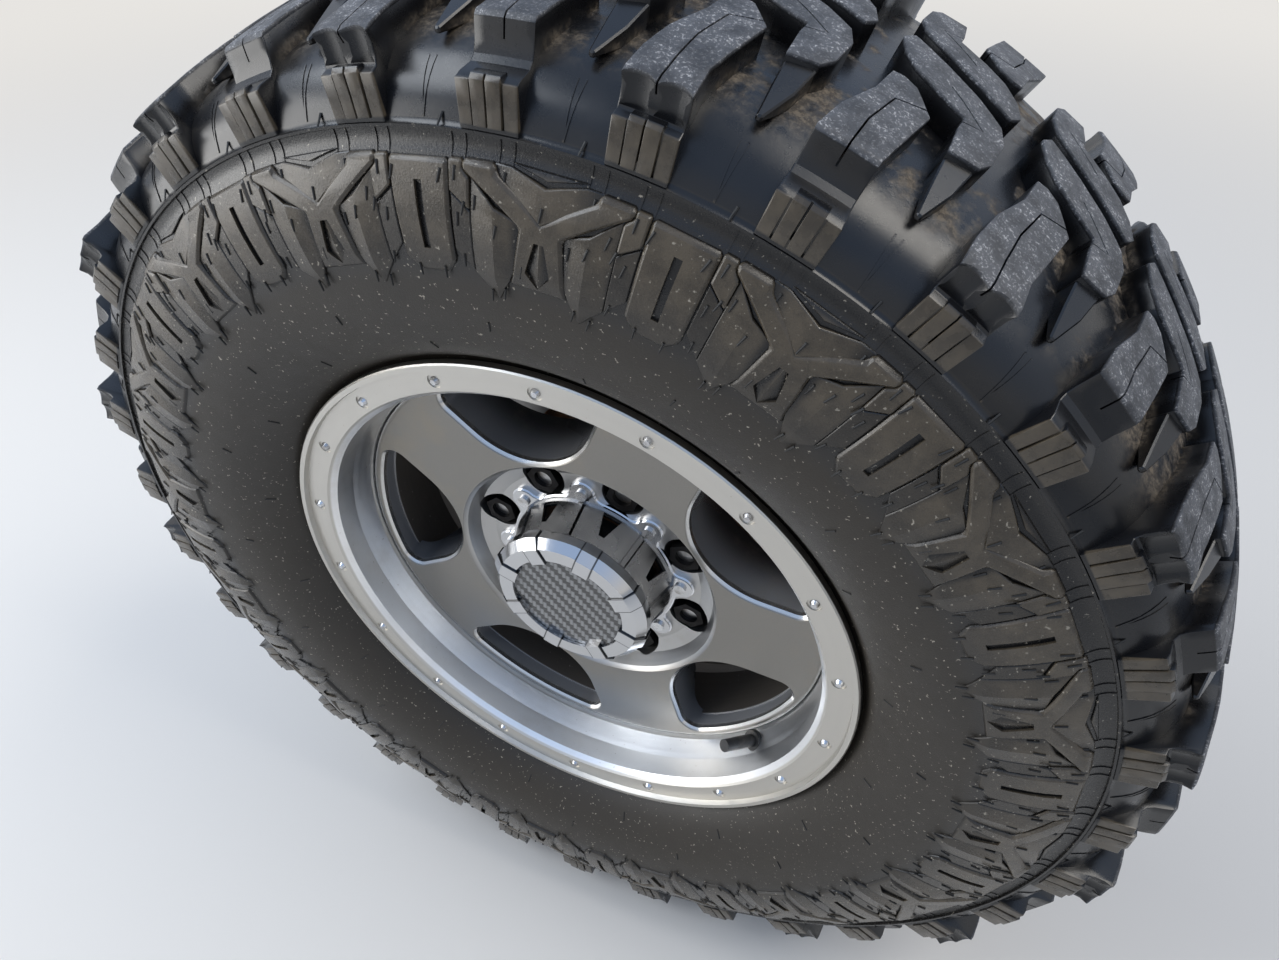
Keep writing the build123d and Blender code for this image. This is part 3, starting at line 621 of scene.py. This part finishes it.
# Sidewall relief is drawn flat, X in millimetres at radius 325 clockwise from its group's centre,
# Y the radius and Z the height over the wall; outlines are given in degrees and radius
side_arc = math.radians(1) * 325
relief_rings = [288, 294, 300, 306, 312, 319, 326, 332, 338, 344, 348.5]
star_plan = [(-7.18, 352), (-4.28, 352), (-4.22, 347.8), (0, 332), (4.22, 347.8), (4.28, 352),
             (7.18, 352), (7.18, 347.5), (1.97, 327), (2.61, 303.4), (3.1, 296.9), (-3.1, 296.9),
             (-2.61, 303.4), (-1.97, 327), (-7.18, 347.5)]
kite_plan = [(-0.45, 322.6), (0.45, 322.6), (1.2, 306.7), (0, 299.1), (-1.2, 306.7)]
facet_plan = [(-4.5, 351.8), (-3.08, 351.8), (0, 346.8), (3.08, 351.8), (4.5, 351.8), (4.4, 347.5),
              (0, 331), (-4.4, 347.5)]
chevron_plan = [(-3.2, 353.4), (3.2, 353.4), (0, 349.5)]
slot_block_plan = [(-2.8, 350.8), (2.8, 350.8), (2.8, 303), (1.6, 295.8), (-1.6, 295.8),
                   (-2.8, 303)]
leg_plan = [(6.53, 345), (4.28, 333.5), (1.9, 328), (2.5, 303.4), (3.1, 296.9), (4.28, 286.1),
            (6.53, 299.6)]
upper_panel_plan = [(8.38, 351.5), (7.18, 351.5), (7.18, 347.5), (6.53, 344.2), (6.53, 330),
                    (8.38, 337.6)]
lower_panel_plan = [(8.38, 336.6), (6.53, 329), (6.53, 299.6), (8.38, 309.9)]
leg_ridge = 4.28
slot_block_at = 11.25
rib_places = (3.08, 4.28, 7.18, 8.38)

# Rubber hairs of the vents, as (degrees, radius, height over the wall)
spews = [(-9.05, 347, 3.2), (-7.74, 349, 3.1), (-3.52, 349, 1.3), (-6.03, 337, 1.6),
         (-6.94, 334, 2.7), (-7.74, 328, 1.2), (-3.98, 326, 2.6), (-7.44, 308, 1.2),
         (-9.75, 300, 1.9), (-4.87, 291.5, 1.2), (-3.42, 294, 1.4), (-1.51, 309, 2.1),
         (0, 339, 3.0), (3.92, 349, 1.1), (7.44, 349, 3.1), (8.91, 347, 3.2),
         (4.32, 328.5, 2.9), (2.61, 325, 1.3), (5.83, 336.6, 1.8), (6.63, 332, 2.6),
         (7.54, 327, 1.2), (7.04, 305, 1.2), (3.82, 294, 1.6), (5.43, 291.5, 1.0),
         (9.85, 300, 1.9), (-6.5, 268, 0), (4.6, 243, 0)]


def wrap_side(piece, clock, turned=False):
    """Bends flat relief onto a sidewall; a turned one goes to the inboard side."""
    way = -1 if turned else 1
    for vertex in piece.data.vertices:
        x, r, high = vertex.co
        angle = math.radians(clock + way * x / side_arc)
        off = side_off(r) + high
        vertex.co = (r * MM * math.sin(angle), middle_y - way * off * MM, r * MM * math.cos(angle))
    piece.data.update()
    return piece


def drawn(name, plan):
    """A flat outline from degrees and radius."""
    return outline(name, [(t * side_arc, r) for t, r in plan])


def panel(name, plan, height, creases=(), kinks=(), draft=1.6):
    """A raised panel with sloping walls; its top follows a height given for degrees and radius."""
    flat = extrude(moved(drawn(name, plan), z=-2.5), (0, 0, 5))
    slice_at(flat, (1, 0, 0), [t * side_arc for t in creases])
    slice_at(flat, (0, 1, 0), kinks)
    for vertex in flat.data.vertices:
        if vertex.co.z > 0:
            vertex.co.z = height(vertex.co.x / side_arc, vertex.co.y)
    rounded(flat, draft, segments=1, angle=40)
    rounded(flat, 0.35, segments=1, angle=25)
    edit(flat)
    bpy.ops.mesh.remove_doubles(threshold=0.003)
    leave_edit()
    return flat


def rings_cut(flat):
    """Cuts relief along circles, so that it follows the wall's curve."""
    radii = [vertex.co.y for vertex in flat.data.vertices]
    low, high = min(radii) + 1, max(radii) - 1
    return slice_at(flat, (0, 1, 0), [r for r in relief_rings if low < r < high])


def mirrored(flat):
    """The mirror image of a flat piece, on the other side of its group's centre."""
    twin = copy_of(flat, flat.name + "_mirrored")
    twin.data.transform(Matrix.Diagonal((-1, 1, 1, 1)))
    twin.data.flip_normals()
    return twin


def spew(t, r, high, length=6.4, rise_angle=2.0):
    """A vent's thin hair of rubber, bent down onto the wall, with its own lean."""
    deselect()
    bpy.ops.mesh.primitive_cone_add(vertices=5, radius1=0.75, radius2=0.48, depth=length)
    hair = named("spew")
    lean = math.radians(9 + 8 * math.sin(7 * t + r))
    hair.data.transform(
        Matrix.Translation((t * side_arc, r, high + 0.05))
        @ Matrix.Rotation(-lean, 4, "Z")
        @ Matrix.Rotation(math.radians(90 - rise_angle), 4, "X")
        @ Matrix.Translation((0, 0, length / 2))
    )
    return hair


def star_top(t, r):
    """Height of the star, which swells towards the shoulder and dips at its foot."""
    return 2.6 + 0.04 * max(0, r - 318) - 0.15 * max(0, 304 - r)


def slot_block_top(t, r):
    """Height of the slotted block, which swells and dips as the star does."""
    return 2.3 + 0.03 * max(0, r - 318) - 0.12 * max(0, 303 - r)


def leg_top(t, r):
    """Height of a leg, highest along its ridge and fading at its foot."""
    slope = 0.75 if t > leg_ridge else 1.0
    return (2.9 - slope * abs(t - leg_ridge)) * min(1, max(0.1, (r - 284) / 15))


def upper_panel_top(t, r):
    """Height of the panel beside a star's arm."""
    return 2.2 + 0.03 * max(0, r - 318)


def kite():
    """The cutter of the hollow in a star's foot, deepest along its middle."""
    cutter = extrude(moved(drawn("kite", kite_plan), z=0.5), (0, 0, 5))
    slice_at(cutter, (1, 0, 0), [0])
    for vertex in cutter.data.vertices:
        if vertex.co.z < 1 and abs(vertex.co.x) < 0.01:
            vertex.co.z = 1.7
    return cutter


def side_rib(t):
    """A short low rib across the band above the relief."""
    rib = block("rib", t * side_arc - 0.45, t * side_arc + 0.45, 350.5, 361.6, -1, 0.5)
    return slice_at(rib, (0, 1, 0), [353, 355.5, 358])


def side_group():
    """One pitch of the sidewall's relief: star, facets, chevron, legs, panels, block, ribs."""
    star = cut(panel("star", star_plan, star_top, kinks=(304, 318)), kite())
    slotted = panel("slotted_block", slot_block_plan, slot_block_top, kinks=(318,))
    cut(slotted, block("slot", -2.1, 2.1, 308.6, 341, 0.4, 5))
    moved(slotted, x=slot_block_at * side_arc)
    leg = panel("leg", leg_plan, leg_top, creases=(leg_ridge,), kinks=(299.2,), draft=0.5)
    upper = panel("upper_panel", upper_panel_plan, upper_panel_top, draft=0.8)
    lower = panel("lower_panel", lower_panel_plan, lambda t, r: 1.2, draft=0.5)
    facets = panel("facets", facet_plan, lambda t, r: 3.0 - 0.5 * abs(t), creases=(0,), draft=0.4)
    chevron = panel("chevron", chevron_plan, lambda t, r: 1.5, draft=0.4)
    ribs = [side_rib(t) for t in rib_places]
    parts = [star, slotted, leg, upper, lower, facets, chevron] + ribs
    parts += [mirrored(part) for part in [leg, upper, lower] + ribs]
    for part in parts:
        rings_cut(part)
    return join(parts, "side_group")


def gutter_group():
    """Two fine ribs that meet low in the gutter between two lugs."""
    ribs = []
    for t in (1.5, 2.1):
        line = [(1.8 * side_arc, 366.5), (t * side_arc, 388)]
        rib = ribbon("gutter_rib", line, 0.8, -0.7, 0.5)
        ribs.append(slice_at(rib, (0, 1, 0), (370, 374, 378, 382, 385)))
    return join(ribs, "gutter_group")


def on_both_sides(flat, name, lag, clocks):
    """Copies of flat relief on both sidewalls in one piece, each a lag clockwise of its clock."""
    copies = []
    for clock in clocks:
        copies.append(wrap_side(copy_of(flat, "relief_copy"), clock + lag))
        copies.append(wrap_side(copy_of(flat, "relief_copy"), clock - lag, turned=True))
    bpy.data.objects.remove(flat)
    return shade(join(copies, name), 17)


star_lag = star_clock - pitch_clock
all_clocks = short_clocks + long_clocks
tyre_pieces = [
    carcass(),
    tread(),
    on_both_sides(side_group(), "sidewall_relief", star_lag, short_clocks),
    on_both_sides(gutter_group(), "gutter_ribs", 0, all_clocks),
]
spew_group = join([spew(*place) for place in spews], "spew_group")
spew_pieces = [
    on_both_sides(spew_group, "vent_spews", star_lag, short_clocks),
    on_both_sides(spew(3.4, 369, 0, 5.5, 30), "shoulder_spews", 0, all_clocks),
]

# Finishes are read from object coordinates, in metres from the knuckle's face on the wheel's
# axis. The cap's tabs stand at the lugs' clock angles, given in degrees, and their half width in
# millimetres.
disc_face_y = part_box("spoke_disc")[0].y
bowl_floor_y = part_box("hub_cap_body")[1].y
cap_body_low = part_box("hub_cap_body")[0].y
lip_face_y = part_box("rim_barrel")[0].y
lug_clock = 17.4
lug_pitch = 45
tab_half = 6.5

# Colours of the rubber, of what lies on it, and of the painted sheen on its relief
wet_black = (0.0050, 0.0050, 0.0058)
dusty_black = (0.024, 0.0195, 0.014)
bronze_dust_and_sheen = (0.078, 0.063, 0.044)
bead_brown = (0.0255, 0.0188, 0.0108)
worn_grey = (0.076, 0.079, 0.088)
fleck_grey = (0.46, 0.46, 0.47)
damp_mud = (0.052, 0.041, 0.031)
dry_mud = (0.20, 0.162, 0.118)
grit = (0.30, 0.27, 0.22)


def rubber_zones(tree, y, radius):
    """Zones of the tyre, each 1 inside and 0 outside, from the curves of its crown and wall."""
    off = maths(tree, "ABSOLUTE", less(tree, y, middle_y))
    drop = product(tree, maths(tree, "POWER", off, 2.0), shoulder_drop / tread_half ** 2 / MM)
    under_crown = less(tree, less(tree, tyre_r * MM, drop), radius)
    bow = maths(tree, "POWER", maths(tree, "MAXIMUM", less(tree, radius, 300 * MM), 0.0), 2.0)
    over_wall = less(tree, off, maths(tree, "MULTIPLY_ADD", bow, -0.00392 / MM, 136.8 * MM))
    raised = product(tree, rise(tree, over_wall, 0.8 * MM, 1.7 * MM),
                     rise(tree, radius, 353 * MM, 351 * MM))
    return {
        "top": rise(tree, under_crown, 2.4 * MM, 0.7 * MM),
        "wall": rise(tree, radius, 364.5 * MM, 361.5 * MM),
        "low_wall": rise(tree, radius, 303 * MM, 286 * MM),
        "relief": product(tree, raised,
                          spread(tree, rise(tree, radius, 298 * MM, 326 * MM), 0.35, 1.0)),
        "step": product(tree, rise(tree, off, 121.4 * MM, 122.3 * MM),
                        rise(tree, radius, 365.5 * MM, 367 * MM)),
        "groove": product(tree, rise(tree, off, 104 * MM, 76 * MM),
                          rise(tree, under_crown, 8 * MM, 13.5 * MM)),
    }


def rubber_colour(tree, where, zone, mud, patches, blots, chips):
    """Dusty black, bronze dust with a painted sheen on the relief and steps, brown by the bead,
    worn tops, mud and grit.
    """
    dust = product(tree, zone["wall"], spread(tree, patches, 0.10, 0.45))
    colour = blend(tree, dust, wet_black, dusty_black)
    # Bronze dust and painted sheen on the relief and the steps, fading towards the bead
    warm = product(tree, maths(tree, "MAXIMUM", zone["relief"], zone["step"]),
                   spread(tree, rise(tree, blots, 0.34, 0.66), 0.55, 1.0))
    colour = blend(tree, warm, colour, bronze_dust_and_sheen)
    brown = product(tree, zone["low_wall"], spread(tree, patches, 0.35, 0.85))
    colour = blend(tree, brown, colour, bead_brown)
    worn = product(tree, zone["top"], spread(tree, rise(tree, blots, 0.35, 0.62), 0.30, 1.0))
    colour = blend(tree, worn, colour, worn_grey)
    flecks = rise(tree, noise(tree, where, 620.0, 3.0, 0.8), 0.53, 0.66)
    flecks = product(tree, product(tree, zone["top"], flecks),
                     spread(tree, rise(tree, blots, 0.44, 0.60), 0.22, 1.0))
    colour = blend(tree, flecks, colour, fleck_grey)
    mud_colour = blend(tree, rise(tree, chips, 0.40, 0.62), damp_mud, dry_mud)
    colour = blend(tree, mud, colour, mud_colour)
    specks = product(tree, zone["wall"], rise(tree, noise(tree, where, 420.0, 2.0), 0.67, 0.73))
    return blend(tree, specks, colour, grit)


def rubber_finish():
    """Black rubber: dusty warm sidewall with a painted sheen on its relief, glossy shoulder faces,
    grey lug tops, mud below them.
    """
    made, tree, shader = material("tyre_rubber")
    where, _, y, _, radius = places(tree)
    patches = noise(tree, where, 11.0, 4.0)
    blots = noise(tree, where, 75.0, 6.0, 0.62)
    grain = noise(tree, where, 950.0, 3.0, 0.7)
    chips = noise(tree, where, 260.0, 5.0, 0.75)
    zone = rubber_zones(tree, y, radius)
    mud = product(tree, zone["groove"], rise(tree, total(tree, blots, patches), 0.94, 1.22))
    plug(tree, shader.inputs["Base Color"],
         rubber_colour(tree, where, zone, mud, patches, blots, chips))
    plug(tree, shader.inputs["Roughness"], total(
        tree,
        spread(tree, blots, 0.20, 0.36),
        product(tree, zone["wall"], spread(tree, grain, -0.10, 0.10)),
        product(tree, zone["low_wall"], 0.22),
        product(tree, zone["top"], spread(tree, chips, 0.10, 0.42)),
        product(tree, mud, 0.5),
    ))
    bumps(tree, shader,
          (product(tree, grain, spread(tree, zone["wall"], 0.25, 1.0)), 0.15 * MM),
          (product(tree, chips, total(tree, zone["top"], mud)), 0.5 * MM))
    return made


# Colours of the aluminium
bright_dish = (0.84, 0.845, 0.85)
filmed_dish = (0.70, 0.68, 0.65)
satin_lip = (0.56, 0.54, 0.50)
dull_back = (0.13, 0.115, 0.10)
brake_dust = (0.46, 0.42, 0.36)


def turned_finish():
    """Turned aluminium: polished dish with fine lathe lines, satin lip, dust film and specks."""
    made, tree, shader = material("turned_aluminium")
    where, _, y, _, radius = places(tree)
    turning = combine(tree, radius, y, 0.0)
    lines = noise(tree, turning, 2600.0, 2.0, 0.8)
    bands = noise(tree, turning, 220.0, 2.0, 0.5)
    film = noise(tree, where, 16.0, 5.0, 0.6)
    lip = product(tree, rise(tree, y, lip_face_y + 7 * MM, lip_face_y + 5 * MM),
                  rise(tree, radius, 195.5 * MM, 197 * MM))
    edge = rise(tree, radius, 217.0 * MM, 218.0 * MM)
    back = rise(tree, y, disc_face_y + 16 * MM, disc_face_y + 18 * MM)
    colour = blend(tree, rise(tree, film, 0.46, 0.80), bright_dish, filmed_dish)
    colour = blend(tree, lip, colour, satin_lip)
    colour = blend(tree, back, colour, dull_back)
    specks = rise(tree, noise(tree, where, 330.0, 3.0, 0.7), 0.68, 0.74)
    plug(tree, shader.inputs["Base Color"], blend(tree, specks, colour, brake_dust))
    shader.inputs["Metallic"].default_value = 1.0
    plug(tree, shader.inputs["Roughness"], total(
        tree,
        spread(tree, bands, 0.27, 0.40),
        product(tree, less(tree, lip, edge), 0.06),
        product(tree, rise(tree, film, 0.50, 0.80), 0.08),
        product(tree, back, 0.30),
    ))
    bumps(tree, shader, (lines, 0.02 * MM), (bands, 0.04 * MM))
    return made


# Colours of the spoke disc; the paint has two, mixed in fine flakes
warm_grey = (0.205, 0.196, 0.180), (0.275, 0.263, 0.242)
bowl_grey = (0.44, 0.435, 0.425)
# Machined rim round the windows, lighter than the paint, with a painted highlight on top
machined_edge_and_highlight = (0.60, 0.595, 0.58)
# Charcoal paint of the window walls, darkened towards black further in as painted shade
window_wall, window_painted_shade = (0.26, 0.265, 0.28), (0.045, 0.045, 0.047)
# Painted shade for the lug wells
well_painted_shade = (0.035, 0.034, 0.034)
road_dust = (0.30, 0.26, 0.20)


def spoke_finish():
    """Satin warm grey on the spokes, smoother in the bowl; painted shade deepens in the windows and
    lug wells, and the machined window rims carry a painted highlight.
    """
    made, tree, shader = material("satin_spokes")
    where, _, y, _, radius = places(tree)
    inside = product(tree, rise(tree, y, disc_face_y + 4.5 * MM, disc_face_y + 8 * MM),
                     rise(tree, radius, 99 * MM, 105 * MM))
    bowl = product(tree, rise(tree, radius, 107 * MM, 103 * MM),
                   rise(tree, y, bowl_floor_y + 3 * MM, bowl_floor_y + 1 * MM))
    # Painted shade in the lug wells below the bowl's floor
    wells = product(tree, rise(tree, radius, 104 * MM, 101 * MM),
                    rise(tree, y, bowl_floor_y + 1.0 * MM, bowl_floor_y + 3.5 * MM))
    # The rim round the windows: machined metal made lighter as a painted highlight
    edge = product(tree, rise(tree, y, disc_face_y + 0.3 * MM, disc_face_y + 1.2 * MM),
                   rise(tree, radius, 107 * MM, 110 * MM))
    film = noise(tree, where, 19.0, 5.0, 0.6)
    flake = noise(tree, where, 2400.0, 1.0)
    # Painted shade, darker the further into the windows
    depth_shade = rise(tree, y, disc_face_y + 12 * MM, disc_face_y + 46 * MM)
    colour = blend(tree, flake, *warm_grey)
    colour = blend(tree, bowl, colour, bowl_grey)
    colour = blend(tree, edge, colour, machined_edge_and_highlight)
    colour = blend(tree, inside, colour, blend(tree, depth_shade, window_wall, window_painted_shade))
    colour = blend(tree, wells, colour, well_painted_shade)
    dust = product(tree, rise(tree, film, 0.50, 0.78), 0.45)
    plug(tree, shader.inputs["Base Color"], blend(tree, dust, colour, road_dust))
    dull = product(tree, maths(tree, "MAXIMUM", inside, wells), 0.5)
    plug(tree, shader.inputs["Metallic"], less(tree, 0.92, dull))
    plug(tree, shader.inputs["Roughness"],
         total(tree, spread(tree, film, 0.28, 0.38), product(tree, edge, -0.12)))
    bumps(tree, shader, (flake, 0.012 * MM))
    return made


# Colours of the hub cap
flange_chrome = (0.74, 0.75, 0.77)
ring_chrome = (0.56, 0.565, 0.575)
satin_rail = (0.36, 0.355, 0.35)
notch_painted_shade = (0.11, 0.112, 0.115)
flute_black = (0.006, 0.006, 0.006)


def beside_tabs(tree, x, z, radius):
    """Distance from the nearest long side of the front ring's eight tabs."""
    half = math.radians(lug_pitch / 2)
    turn = less(tree, maths(tree, "ARCTAN2", x, z), math.radians(lug_clock + lug_pitch / 2))
    from_tab = less(tree, maths(tree, "FLOORED_MODULO", turn, math.radians(lug_pitch)), half)
    across = maths(tree, "ABSOLUTE", product(tree, radius, maths(tree, "SINE", from_tab)))
    return maths(tree, "ABSOLUTE", less(tree, across, tab_half * MM))


def chrome_finish():
    """Bright chrome on the cap's flange and front ring; satin body with black flutes between;
    painted shade in the notches beside the ring's tabs.
    """
    made, tree, shader = material("cap_chrome")
    where, x, y, z, radius = places(tree)
    film = noise(tree, where, 42.0, 5.0, 0.6)
    grain = noise(tree, where, 1500.0, 2.0, 0.7)
    body = product(tree, rise(tree, y, bowl_floor_y - 3.6 * MM, bowl_floor_y - 4.4 * MM),
                   rise(tree, y, cap_body_low - 0.4 * MM, cap_body_low + 0.2 * MM))
    taper = maths(tree, "MULTIPLY_ADD", less(tree, y, bowl_floor_y - 4 * MM), 0.26, 65.2 * MM)
    sunk = product(tree, body, rise(tree, less(tree, taper, radius), 1.4 * MM, 2.4 * MM))
    face = rise(tree, y, cap_body_low + 4 * MM, cap_body_low - 4 * MM)
    # Painted shade where notches beside the front ring's tabs would be
    notch_shade = product(tree, face, rise(tree, beside_tabs(tree, x, z, radius), 0.9 * MM, 0.3 * MM))
    colour = blend(tree, face, flange_chrome, ring_chrome)
    colour = blend(tree, body, colour, satin_rail)
    colour = blend(tree, notch_shade, colour, notch_painted_shade)
    plug(tree, shader.inputs["Base Color"], blend(tree, sunk, colour, flute_black))
    plug(tree, shader.inputs["Metallic"], less(tree, 1.0, sunk))
    plug(tree, shader.inputs["Roughness"], total(
        tree, spread(tree, film, 0.05, 0.15), product(tree, body, 0.17), product(tree, face, 0.04)))
    bumps(tree, shader, (grain, 0.008 * MM))
    return made


# Width of one tow of the woven insert in metres, and the weave's colours, one of them a painted
# sheen
tow = 3.1 * MM
weave_black = (0.010, 0.010, 0.011)
weave_painted_sheen = (0.26, 0.265, 0.27)
strand_black = (0.012, 0.012, 0.013)


def tow_round(tree, value):
    """The round of one tow, 1 along its middle and 0 at its edges."""
    side = maths(tree, "MULTIPLY_ADD", maths(tree, "FRACT", value), 2.0, -1.0)
    return less(tree, 1.0, maths(tree, "POWER", side, 2.0))


def weave_finish():
    """Two-by-two twill of dark fibre under clear gloss, with a painted sheen on the tows that run
    one way, brightest along their middle.
    """
    made, tree, shader = material("twill_weave")
    _, x, _, z, _ = places(tree)
    across = maths(tree, "DIVIDE", x, tow)
    along = maths(tree, "DIVIDE", z, tow)
    diagonal = total(tree, maths(tree, "FLOOR", across), maths(tree, "FLOOR", along))
    over = maths(tree, "LESS_THAN", maths(tree, "FLOORED_MODULO", diagonal, 4.0), 1.5)
    height = total(tree, product(tree, over, tow_round(tree, across)),
                   product(tree, less(tree, 1.0, over), tow_round(tree, along)))
    strands = noise(tree, combine(tree, product(tree, x, 9.0), z, 0.0), 500.0, 1.0)
    # Painted sheen on the tows on top one way, brightest along their middle
    bright = product(tree, over, spread(tree, height, 0.45, 1.0))
    colour = blend(tree, bright, weave_black, weave_painted_sheen)
    plug(tree, shader.inputs["Base Color"],
         blend(tree, product(tree, strands, 0.3), colour, strand_black))
    shader.inputs["Metallic"].default_value = 0.35
    plug(tree, shader.inputs["Roughness"], spread(tree, strands, 0.32, 0.46))
    shader.inputs["Coat Weight"].default_value = 1.0
    shader.inputs["Coat Roughness"].default_value = 0.06
    bumps(tree, shader, (height, 0.10 * MM))
    return made


def steel_finish(name, colour, grime, rough):
    """Plated or machined steel with grime in patches."""
    made, tree, shader = material(name)
    where = object_place(tree)
    film = noise(tree, where, 60.0, 5.0, 0.65)
    scratch = noise(tree, where, 1400.0, 2.0, 0.7)
    plug(tree, shader.inputs["Base Color"],
         blend(tree, rise(tree, film, 0.42, 0.70), colour, grime))
    shader.inputs["Metallic"].default_value = 1.0
    plug(tree, shader.inputs["Roughness"], spread(tree, film, rough - 0.10, rough + 0.18))
    bumps(tree, shader, (scratch, 0.015 * MM))
    return made


# Colours of the ring that the pads keep bright, and of iron in the cap's shade
score_dark, score_bright = (0.30, 0.29, 0.28), (0.44, 0.42, 0.40)
shade_black = (0.004, 0.004, 0.004)


def rusty_finish(name, iron, rust, bloom, swept=None, shaded=None):
    """Cast iron gone rusty in patches; bright where the pads run, black as painted shade in front
    of a place.
    """
    made, tree, shader = material(name)
    where, _, y, _, radius = places(tree)
    patches = noise(tree, where, 24.0, 6.0, 0.62)
    crust = noise(tree, where, 330.0, 5.0, 0.7)
    colour = blend(tree, rise(tree, patches, 0.38, 0.58), iron, rust)
    colour = blend(tree, rise(tree, crust, 0.50, 0.72), colour, bloom)
    if shaded:
        colour = blend(tree, rise(tree, y, shaded, shaded - 2 * MM), colour, shade_black)
    rough = spread(tree, crust, 0.62, 0.92)
    crust_height = crust
    if swept:
        ring = product(tree, rise(tree, radius, swept[0] - 0.5 * MM, swept[0] + 0.5 * MM),
                       rise(tree, radius, swept[1] + 0.5 * MM, swept[1] - 0.5 * MM))
        scores = noise(tree, combine(tree, radius, 0.0, 0.0), 900.0, 3.0, 0.8)
        colour = blend(tree, ring, colour, blend(tree, scores, score_dark, score_bright))
        rough = less(tree, rough, product(tree, ring, 0.40))
        plug(tree, shader.inputs["Metallic"], product(tree, ring, 0.95))
        crust_height = product(tree, crust, less(tree, 1.0, ring))
    plug(tree, shader.inputs["Base Color"], colour)
    plug(tree, shader.inputs["Roughness"], rough)
    bumps(tree, shader, (crust_height, 0.35 * MM))
    return made


def moulded_finish(name, colour, dust, rough):
    """Plain moulded rubber or plastic with a dust film."""
    made, tree, shader = material(name)
    where = object_place(tree)
    film = noise(tree, where, 70.0, 5.0, 0.6)
    grain = noise(tree, where, 1300.0, 2.0)
    plug(tree, shader.inputs["Base Color"],
         blend(tree, rise(tree, film, 0.45, 0.75), colour, dust))
    plug(tree, shader.inputs["Roughness"], spread(tree, film, rough - 0.08, rough + 0.12))
    bumps(tree, shader, (grain, 0.04 * MM))
    return made


# The tyre's pieces turn with the wheel in place of the node tyre
tyre_rubber = rubber_finish()
spew_rubber = moulded_finish("spew_rubber", (0.003, 0.003, 0.003), (0.010, 0.009, 0.008), 0.62)
for piece in tyre_pieces + spew_pieces:
    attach(piece, "wheel")
    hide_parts("tyre")
    piece.data.materials.clear()
    piece.data.materials.append(tyre_rubber if piece in tyre_pieces else spew_rubber)

# Finishes of the nodes that show as they are in the source
turned = turned_finish()
chrome = chrome_finish()
plated = steel_finish("plated_steel", (0.50, 0.50, 0.50), (0.22, 0.19, 0.16), 0.28)
cast_colours = (0.095, 0.062, 0.043), (0.25, 0.115, 0.052), (0.40, 0.20, 0.088)
cast = rusty_finish("rusty_casting", *cast_colours)
finishes = {
    "rim_barrel": turned,
    "lip_rivets": steel_finish("rivet_steel", (0.62, 0.63, 0.65), (0.30, 0.28, 0.26), 0.20),
    "spoke_disc": spoke_finish(),
    # Dark steel nuts, darkened further as painted shade so that they read as dark wells
    "lug_nuts": steel_finish("nut_steel", (0.026, 0.025, 0.025), (0.016, 0.014, 0.013), 0.52),
    "wheel_studs": plated,
    "hub": rusty_finish("hub_casting", *cast_colours, shaded=bowl_floor_y + 2 * MM),
    "brake_rotor": rusty_finish("rotor_iron", (0.13, 0.088, 0.062), (0.28, 0.135, 0.064),
                                (0.42, 0.225, 0.105), swept=(101 * MM, 156 * MM)),
    "hub_cap_body": chrome,
    "hub_cap_ring": chrome,
    "hub_cap_insert": weave_finish(),
    "hub_cap_screws": steel_finish("screw_steel", (0.66, 0.665, 0.67), (0.34, 0.32, 0.30), 0.24),
    "valve_stem": moulded_finish("valve_rubber", (0.012, 0.012, 0.012), (0.07, 0.06, 0.05), 0.5),
    "valve_cap": moulded_finish("valve_cap_plastic", (0.014, 0.014, 0.015),
                                (0.06, 0.055, 0.045), 0.42),
    "spindle": steel_finish("spindle_steel", (0.30, 0.285, 0.27), (0.16, 0.095, 0.055), 0.42),
    "spindle_nut": plated,
    "splash_shield": rusty_finish("shield_sheet", (0.030, 0.027, 0.025), (0.070, 0.042, 0.028),
                                  (0.17, 0.085, 0.042)),
    "caliper_bracket": cast,
    "brake_caliper": rusty_finish("caliper_iron", (0.085, 0.062, 0.048), (0.21, 0.105, 0.054),
                                  (0.36, 0.185, 0.085)),
    "brake_pads": moulded_finish("pad_lining", (0.060, 0.055, 0.050), (0.13, 0.10, 0.075), 0.80),
    "slide_pins": plated,
}
for name, finish in finishes.items():
    surface = nodes[name].data.materials
    surface.clear()
    surface.append(finish)
